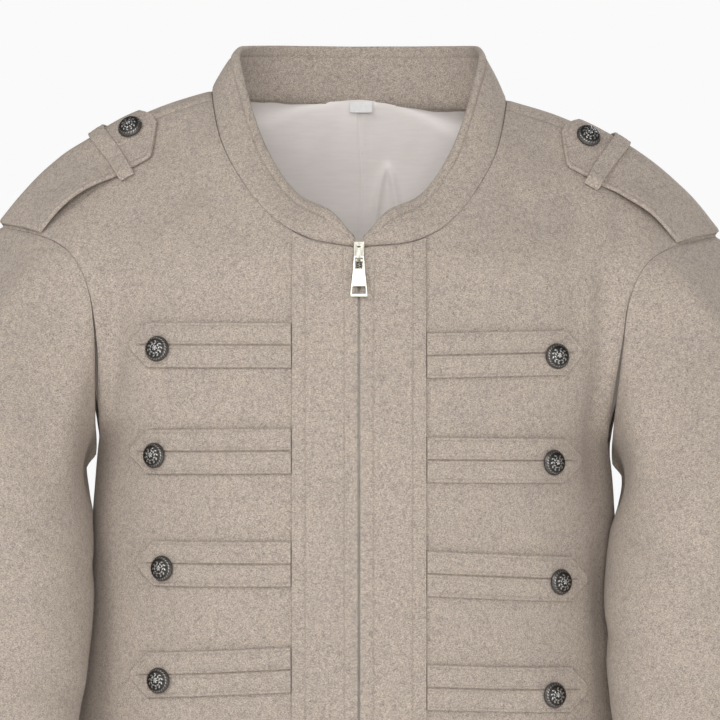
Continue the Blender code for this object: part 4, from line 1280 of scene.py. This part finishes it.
def make_loop(label, side):
    """Carrier loop across the epaulet, its feet sewn to the shoulder on both sides."""
    loop_part = (LOOP_PLACE - EPAULET_START) / (EPAULET_END - EPAULET_START)
    half = EPAULET_WIDTH / 2 + EPAULET_FLARE * loop_part
    over = 2 * LIFT + EPAULET + 2 * LIFT
    # distance past the epaulet's middle, height of the inner face
    profile = np.array((
        (-half - 5.0, LIFT),
        (-half - 2.9, LIFT + 0.2),
        (-half - 1.6, over),
        (-half * 0.75, over),
        (0, over),
        (half * 0.75, over),
        (half + 1.6, over),
        (half + 2.9, LIFT + 0.2),
        (half + 5.0, LIFT),
    ))
    steps = np.concatenate([[0], np.cumsum(np.linalg.norm(np.diff(profile, axis=0), axis=1))])
    fine = np.linspace(0, steps[-1], 60)
    distance = np.interp(fine, steps, profile[:, 0])[:, None] + EPAULET_MIDDLE
    height = np.interp(fine, steps, profile[:, 1])[:, None]
    wide = spread(LOOP_WIDTH, 1.0)
    s = LOOP_PLACE + (wide - 0.5)[None, :] * LOOP_WIDTH / SHOULDER_LENGTH
    s, distance = np.broadcast_arrays(s, distance)
    height = np.broadcast_to(height, s.shape)
    t = around_shoulder(side, s, distance)
    reach = distance - EPAULET_MIDDLE
    spread_out = 1.6 * np.sign(reach) * ease((np.abs(reach) - half + 1) / 2)
    t_outer = around_shoulder(side, s, distance + spread_out)
    edge = np.minimum(wide, 1 - wide)[None, :] * LOOP_WIDTH
    edges = rolled(edge, 0.9)
    sewn = groove(edge, 2.4, 0.3, 0.6)
    outer = body(side, s, t_outer, height + LOOP - edges - sewn + 0.2)
    inner = body(side, s, t, height + 0.5 * edges)
    thing = shell(f"cloth_loop_{label}", outer, inner, WOOL_LOOK)
    sew_on(thing, f"loop_{label}")


# Buttons

BUTTON_AROUND = 72
LEAF_TALL = 0.55


def leaf_relief(x, y):
    """Height of a generic ornament: two leafy sprays under a small flower, 0 to 1."""
    height = np.zeros(x.shape)

    def bump(centre_x, centre_y, long, wide, turn, tall):
        dx, dy = x - centre_x, y - centre_y
        along = dx * math.cos(turn) + dy * math.sin(turn)
        across = -dx * math.sin(turn) + dy * math.cos(turn)
        form = 1 - (along / long) ** 2 - (across / wide) ** 2
        vein = 1 - 0.45 * np.exp(-((across / (wide * 0.22)) ** 2))
        np.maximum(height, tall * np.sqrt(np.clip(form, 0, 1)) * vein, out=height)

    for sign in (-1, 1):
        for k in range(5):
            angle = math.radians(-70 + 34 * k)
            stem_x = sign * (4.3 * math.cos(angle) * 0.98)
            stem_y = 4.3 * math.sin(angle) - 0.2
            for tilt, offset in ((0.65, 0.85), (-0.65, -0.85)):
                turn = angle + math.pi / 2 + tilt
                turn = turn if sign > 0 else math.pi - turn
                push = offset
                centre_x = stem_x + sign * push * math.cos(angle)
                centre_y = stem_y + push * math.sin(angle)
                bump(centre_x, centre_y, 1.25, 0.55, turn, 0.9)
    for k in range(6):
        angle = math.radians(60 * k + 12)
        bump(1.25 * math.cos(angle), 0.35 + 1.25 * math.sin(angle), 1.0, 0.55, angle, 1.0)
    bump(0, 0.35, 0.65, 0.65, 0.0, 1.0)
    return height


def button_mesh():
    """Domed button with a roped rim and an ornament. Its attribute relief is 0 in the hollows."""
    outline = np.array(BUTTON_OUTLINE)
    radii = np.concatenate([
        [7.6, 8.3, 8.75, 8.95, 9.0, 8.95, 8.8, 8.55, 8.25, 7.95, 7.65, 7.35, 7.1],
        np.linspace(6.8, 0.25, 22),
    ])
    rise = np.concatenate([[0.0, 0.12, 0.4, 0.8, 1.3, 1.8], np.interp(-radii[6:], -outline[2:, 0], outline[2:, 1])])
    angle = np.arange(BUTTON_AROUND) * 2 * np.pi / BUTTON_AROUND
    radius = radii[:, None]
    x = radius * np.cos(angle)
    y = radius * np.sin(angle)
    field = ease((6.75 - radius) / 0.5)
    ornament = leaf_relief(x, y) * field
    rim = np.exp(-(((radius - 7.75) / 0.62) ** 2)) * (rise[:, None] > 1.5)
    rope = rim * (0.55 + 0.45 * np.cos(24 * angle + 2.2 * radius))
    height = LEAF_TALL * ornament + 0.5 * rope - 0.25 * np.exp(-(((radius - 6.85) / 0.35) ** 2))
    z = rise[:, None] + height - 0.3 * field
    points = np.stack([x, y, z], -1).reshape(-1, 3)
    relief = np.clip(0.10 + 0.70 * ornament + 0.42 * rope, 0, 1)
    relief = relief + 0.15 * (radius > 8.5)
    faces = grid_faces(len(radii), BUTTON_AROUND, closed=True).tolist()
    last = (len(radii) - 1) * BUTTON_AROUND
    faces.append([last + k for k in range(BUTTON_AROUND)])
    faces.append([k for k in reversed(range(BUTTON_AROUND))])
    mesh = bpy.data.meshes.new("button")
    mesh.from_pydata((points * MM).tolist(), [], faces)
    mesh.shade_smooth()
    values = mesh.attributes.new("relief", "FLOAT", "POINT")
    values.data.foreach_set("value", relief.ravel().astype(np.float32))
    mesh.materials.append(SILVER_LOOK)
    return mesh


def seat(side, s, t, out):
    """Matrix in metres of a place on the body: local Z points out, local Y up the cloth."""
    point = body(side, s, t, out)
    step = 0.003
    ahead = body(side, s + step, t, out) - body(side, s - step, t, out)
    above = body(side, s, t + step, out) - body(side, s, t - step, out)
    normal = unit(np.cross(ahead, above)) * side
    across = unit(np.cross((0, 0, 1), normal))
    return placed(across, np.cross(normal, across), normal, point)


def placed(across, upward, outward, point):
    """Matrix in metres from three directions and a point in millimetres."""
    matrix = Matrix.Identity(4)
    for axis, vector in enumerate((across, upward, outward, point * MM)):
        for row in range(3):
            matrix[row][axis] = vector[row]
    return matrix


def make_buttons():
    mesh = button_mesh()
    places = []
    for label, side in SIDES.items():
        rows = [row for row in TABS if row[0] == label]
        for number, (_, _, _, _, x_button, z_button) in enumerate(rows, 1):
            s, t = on_body(side, np.array(x_button), np.array(z_button), 4)
            places.append((f"button_{label}_{number}", seat(side, s, t, TAB_LIFT + TAB + BUTTON_GAP), number))
        s = np.array(EPAULET_BUTTON)
        t = around_shoulder(side, s, EPAULET_MIDDLE)
        out = 2 * LIFT + EPAULET + BUTTON_GAP
        places.append((f"epaulet_button_{label}", seat(side, s, t, out), 5))
    for count, (node, matrix, number) in enumerate(places):
        thing = bpy.data.objects.new("domed_" + node, mesh)
        turn = math.radians((37 * count) % 50 - 25)
        thing.matrix_world = matrix @ Matrix.Rotation(turn, 4, "Z")
        bpy.context.scene.collection.objects.link(thing)
        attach(thing, BODY)
        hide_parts(node)


# Zip

def zip_frame(z):
    """Matrix at the centre front at this height: local Y up the cloth, local Z out."""
    _, t = on_body(-1, np.array(0.0), np.array(z), 5.5)
    step = 0.003
    across = np.array([1.0, 0.0, 0.0])
    upward = unit(neckline(t + step) - neckline(t - step))
    return placed(across, upward, np.cross(across, upward), neckline(t))


def boxes(name, places, sizes, look, bevel):
    """Many small blocks in one piece. Places are (centre, across, up, out) in millimetres."""
    corner = np.array([(x, y, z) for x in (-1, 1) for y in (-1, 1) for z in (-1, 1)]) / 2
    sides = ((0, 1, 3, 2), (4, 6, 7, 5), (0, 4, 5, 1), (2, 3, 7, 6), (0, 2, 6, 4), (1, 5, 7, 3))
    points = []
    faces = []
    for centre, across, up, out in places:
        base = len(points)
        for a, b, c in corner * np.array(sizes):
            points.append(centre + across * a + up * b + out * c)
        faces += [[base + k for k in side] for side in sides]
    thing = mesh_piece(name, points, faces, look, 60)
    softened = thing.modifiers.new("soft edges", "BEVEL")
    softened.width = bevel * MM
    softened.segments = 2
    return thing


def make_zip(label, side):
    """Tape behind the front, and its row of teeth in the slit."""
    x = np.array([ZIP_EDGE - 1.0, 2.5, 5, 8, 11, TAPE_WIDTH])
    z = np.linspace(ZIP_Z[1], ZIP_Z[0], 110)
    x, z = np.meshgrid(x, z)
    tape_out = -WOOL - TAPE_GAP
    outer = on_front(side, x, z, tape_out)
    inner = on_front(side, x, z, tape_out - TAPE)
    thing = shell(f"cloth_zip_tape_{label}", outer, inner, TAPE_LOOK)
    sew_on(thing, f"zip_{label}")
    first = 0.0 if side < 0 else TOOTH_PITCH / 2
    heights = np.arange(ZIP_Z[0] + 2 + first, ZIP_Z[1] - 1, TOOTH_PITCH)
    middle = on_front(side, np.full(heights.shape, 0.62), heights, -0.9)
    out = unit(on_front(side, np.full(heights.shape, 0.62), heights, 0.1) - middle)
    up = unit(np.gradient(middle, axis=0))
    across = unit(np.cross(up, out))
    places = list(zip(middle, across, up, out))
    teeth = boxes(f"zip_teeth_{label}", places, (1.5, 0.95, 2.6), TOOTH_LOOK, 0.18)
    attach(teeth, BODY)


def bevelled(thing, width, segments=3):
    softened = thing.modifiers.new("soft edges", "BEVEL")
    softened.width = width * MM
    softened.segments = segments
    softened.limit_method = "ANGLE"
    softened.angle_limit = math.radians(30)
    thing.data.set_sharp_from_angle(angle=math.radians(60))
    return thing


def make_pull():
    """Pull tab: a flaring plate with a window for the bridge and a slot near its foot."""
    # distance below the axis, half width, half width of the opening
    rows = (
        (-0.8, 3.6, 2.4),
        (0.8, 3.8, 2.4),
        (8.4, 4.2, 2.4),
        (15.0, 4.9, 3.6),
        (21.0, 5.5, 4.3),
        (26.2, 6.0, 4.7),
        (28.4, 6.1, 4.9),
    )
    grid = np.array([[(x, -down, 0) for x in (-w, -h, h, w)] for down, w, h in rows], float)
    thick = np.array([0, 0, PULL / 2])
    faces = grid_faces(len(rows), 4)
    keep = [number for number in range(len(faces)) if number not in (1 * 3 + 1, 4 * 3 + 1)]
    thing = shell("pull_plate", grid + thick, grid - thick, PULL_LOOK, faces=faces[keep])
    thing.matrix_world = zip_frame(SLIDER_Z) @ Matrix.Translation((0, 0, PULL_AXIS_OUT * MM))
    bevelled(thing, 0.35)
    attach(thing, PULL_BODY)
    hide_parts("zip_pull")


def dress_kept_nodes():
    """Gives the CAD nodes that stay their finish."""
    for node in ("zip_slider", "zip_box"):
        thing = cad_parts[node]
        thing.data.materials.clear()
        thing.data.materials.append(SLIDER_LOOK)
        bevelled_look = thing.modifiers.new("soft edges", "BEVEL")
        bevelled_look.width = 0.2 * MM
        bevelled_look.segments = 2
        bevelled_look.limit_method = "ANGLE"


# Studio

def make_floor():
    size = 6.0
    mesh = bpy.data.meshes.new("floor")
    low = -0.72
    mesh.from_pydata([(-size, -size, low), (size, -size, low), (size, size, low), (-size, size, low)], [], [(0, 1, 2, 3)])
    look, _, shader = nodes_of("pale_floor")
    shader.inputs["Base Color"].default_value = (0.9, 0.9, 0.9, 1)
    shader.inputs["Roughness"].default_value = 0.95
    shader.inputs["Emission Color"].default_value = (1, 1, 1, 1)
    shader.inputs["Emission Strength"].default_value = 0.3
    link(bpy.data.objects.new("floor", mesh), look)


def make_world():
    """Pale studio: the camera sees near white, and the cloth is lit a little less from all round."""
    world = bpy.data.worlds.new("studio")
    world.use_nodes = True
    tree = world.node_tree
    tree.nodes.clear()
    seen = add(tree, "ShaderNodeBackground", Color=(0.955, 0.955, 0.955, 1), Strength=1.0)
    fill = add(tree, "ShaderNodeBackground", Color=(1.0, 0.995, 0.99, 1), Strength=0.27)
    path = add(tree, "ShaderNodeLightPath")
    both = add(tree, "ShaderNodeMixShader", i0=path.outputs["Is Camera Ray"])
    tree.links.new(fill.outputs[0], both.inputs[1])
    tree.links.new(seen.outputs[0], both.inputs[2])
    out = add(tree, "ShaderNodeOutputWorld")
    tree.links.new(both.outputs[0], out.inputs[0])
    bpy.context.scene.world = world


def lamp(name, place, aim, size, power, colour=(1, 1, 1)):
    light = bpy.data.lights.new(name, "AREA")
    light.shape = "DISK"
    light.size = size
    light.energy = power
    light.color = colour
    thing = bpy.data.objects.new(name, light)
    back = unit(np.array(place, float) - np.array(aim, float))
    across = unit(np.cross((0, 0, 1), back))
    matrix = Matrix.Identity(4)
    for axis, vector in enumerate((across, np.cross(back, across), back, np.array(place, float))):
        for row in range(3):
            matrix[row][axis] = vector[row]
    thing.matrix_world = matrix
    bpy.context.scene.collection.objects.link(thing)


def make_lights():
    lamp("front", (0.1, -3.2, 0.35), (0, 0, -0.2), 1.6, 42)
    lamp("key", (-1.5, -1.9, 1.3), (0, 0, -0.2), 1.3, 22)
    lamp("fill", (1.7, -2.2, 0.2), (0, 0, -0.25), 1.8, 5)
    lamp("rear", (1.4, 2.2, 1.2), (0, 0, -0.2), 1.5, 36)


def make_camera():
    camera = bpy.data.cameras.new("camera")
    camera.sensor_width = 36
    camera.lens = camera.sensor_width * CAMERA_DISTANCE / (720 * PIXEL)
    camera.clip_end = 50
    thing = bpy.data.objects.new("camera", camera)
    thing.location = (CAMERA_X * MM, (FRONT_Y - CAMERA_DISTANCE) * MM, CAMERA_Z * MM)
    thing.rotation_euler = (math.radians(90), 0, 0)
    bpy.context.scene.collection.objects.link(thing)
    bpy.context.scene.camera = thing


def main():
    bpy.context.scene.view_settings.view_transform = "Standard"
    make_camera()
    make_world()
    make_lights()
    make_floor()
    make_back()
    make_lining()
    make_label()
    make_collar()
    make_neck_seam()
    make_stitches("stitches_collar")
    for label, side in SIDES.items():
        make_front(label, side)
        make_sleeve(label, side)
        make_placket(label, side)
        make_zip(label, side)
        rows = [row for row in TABS if row[0] == label]
        for number, (_, z_band, z_point, x_point, _, _) in enumerate(rows, 1):
            make_tab(label, number, side, z_band, z_point, x_point)
        make_epaulet(label, side)
        make_loop(label, side)
        make_stitches(f"stitches_{label}")
    make_buttons()
    make_pull()
    dress_kept_nodes()


main()
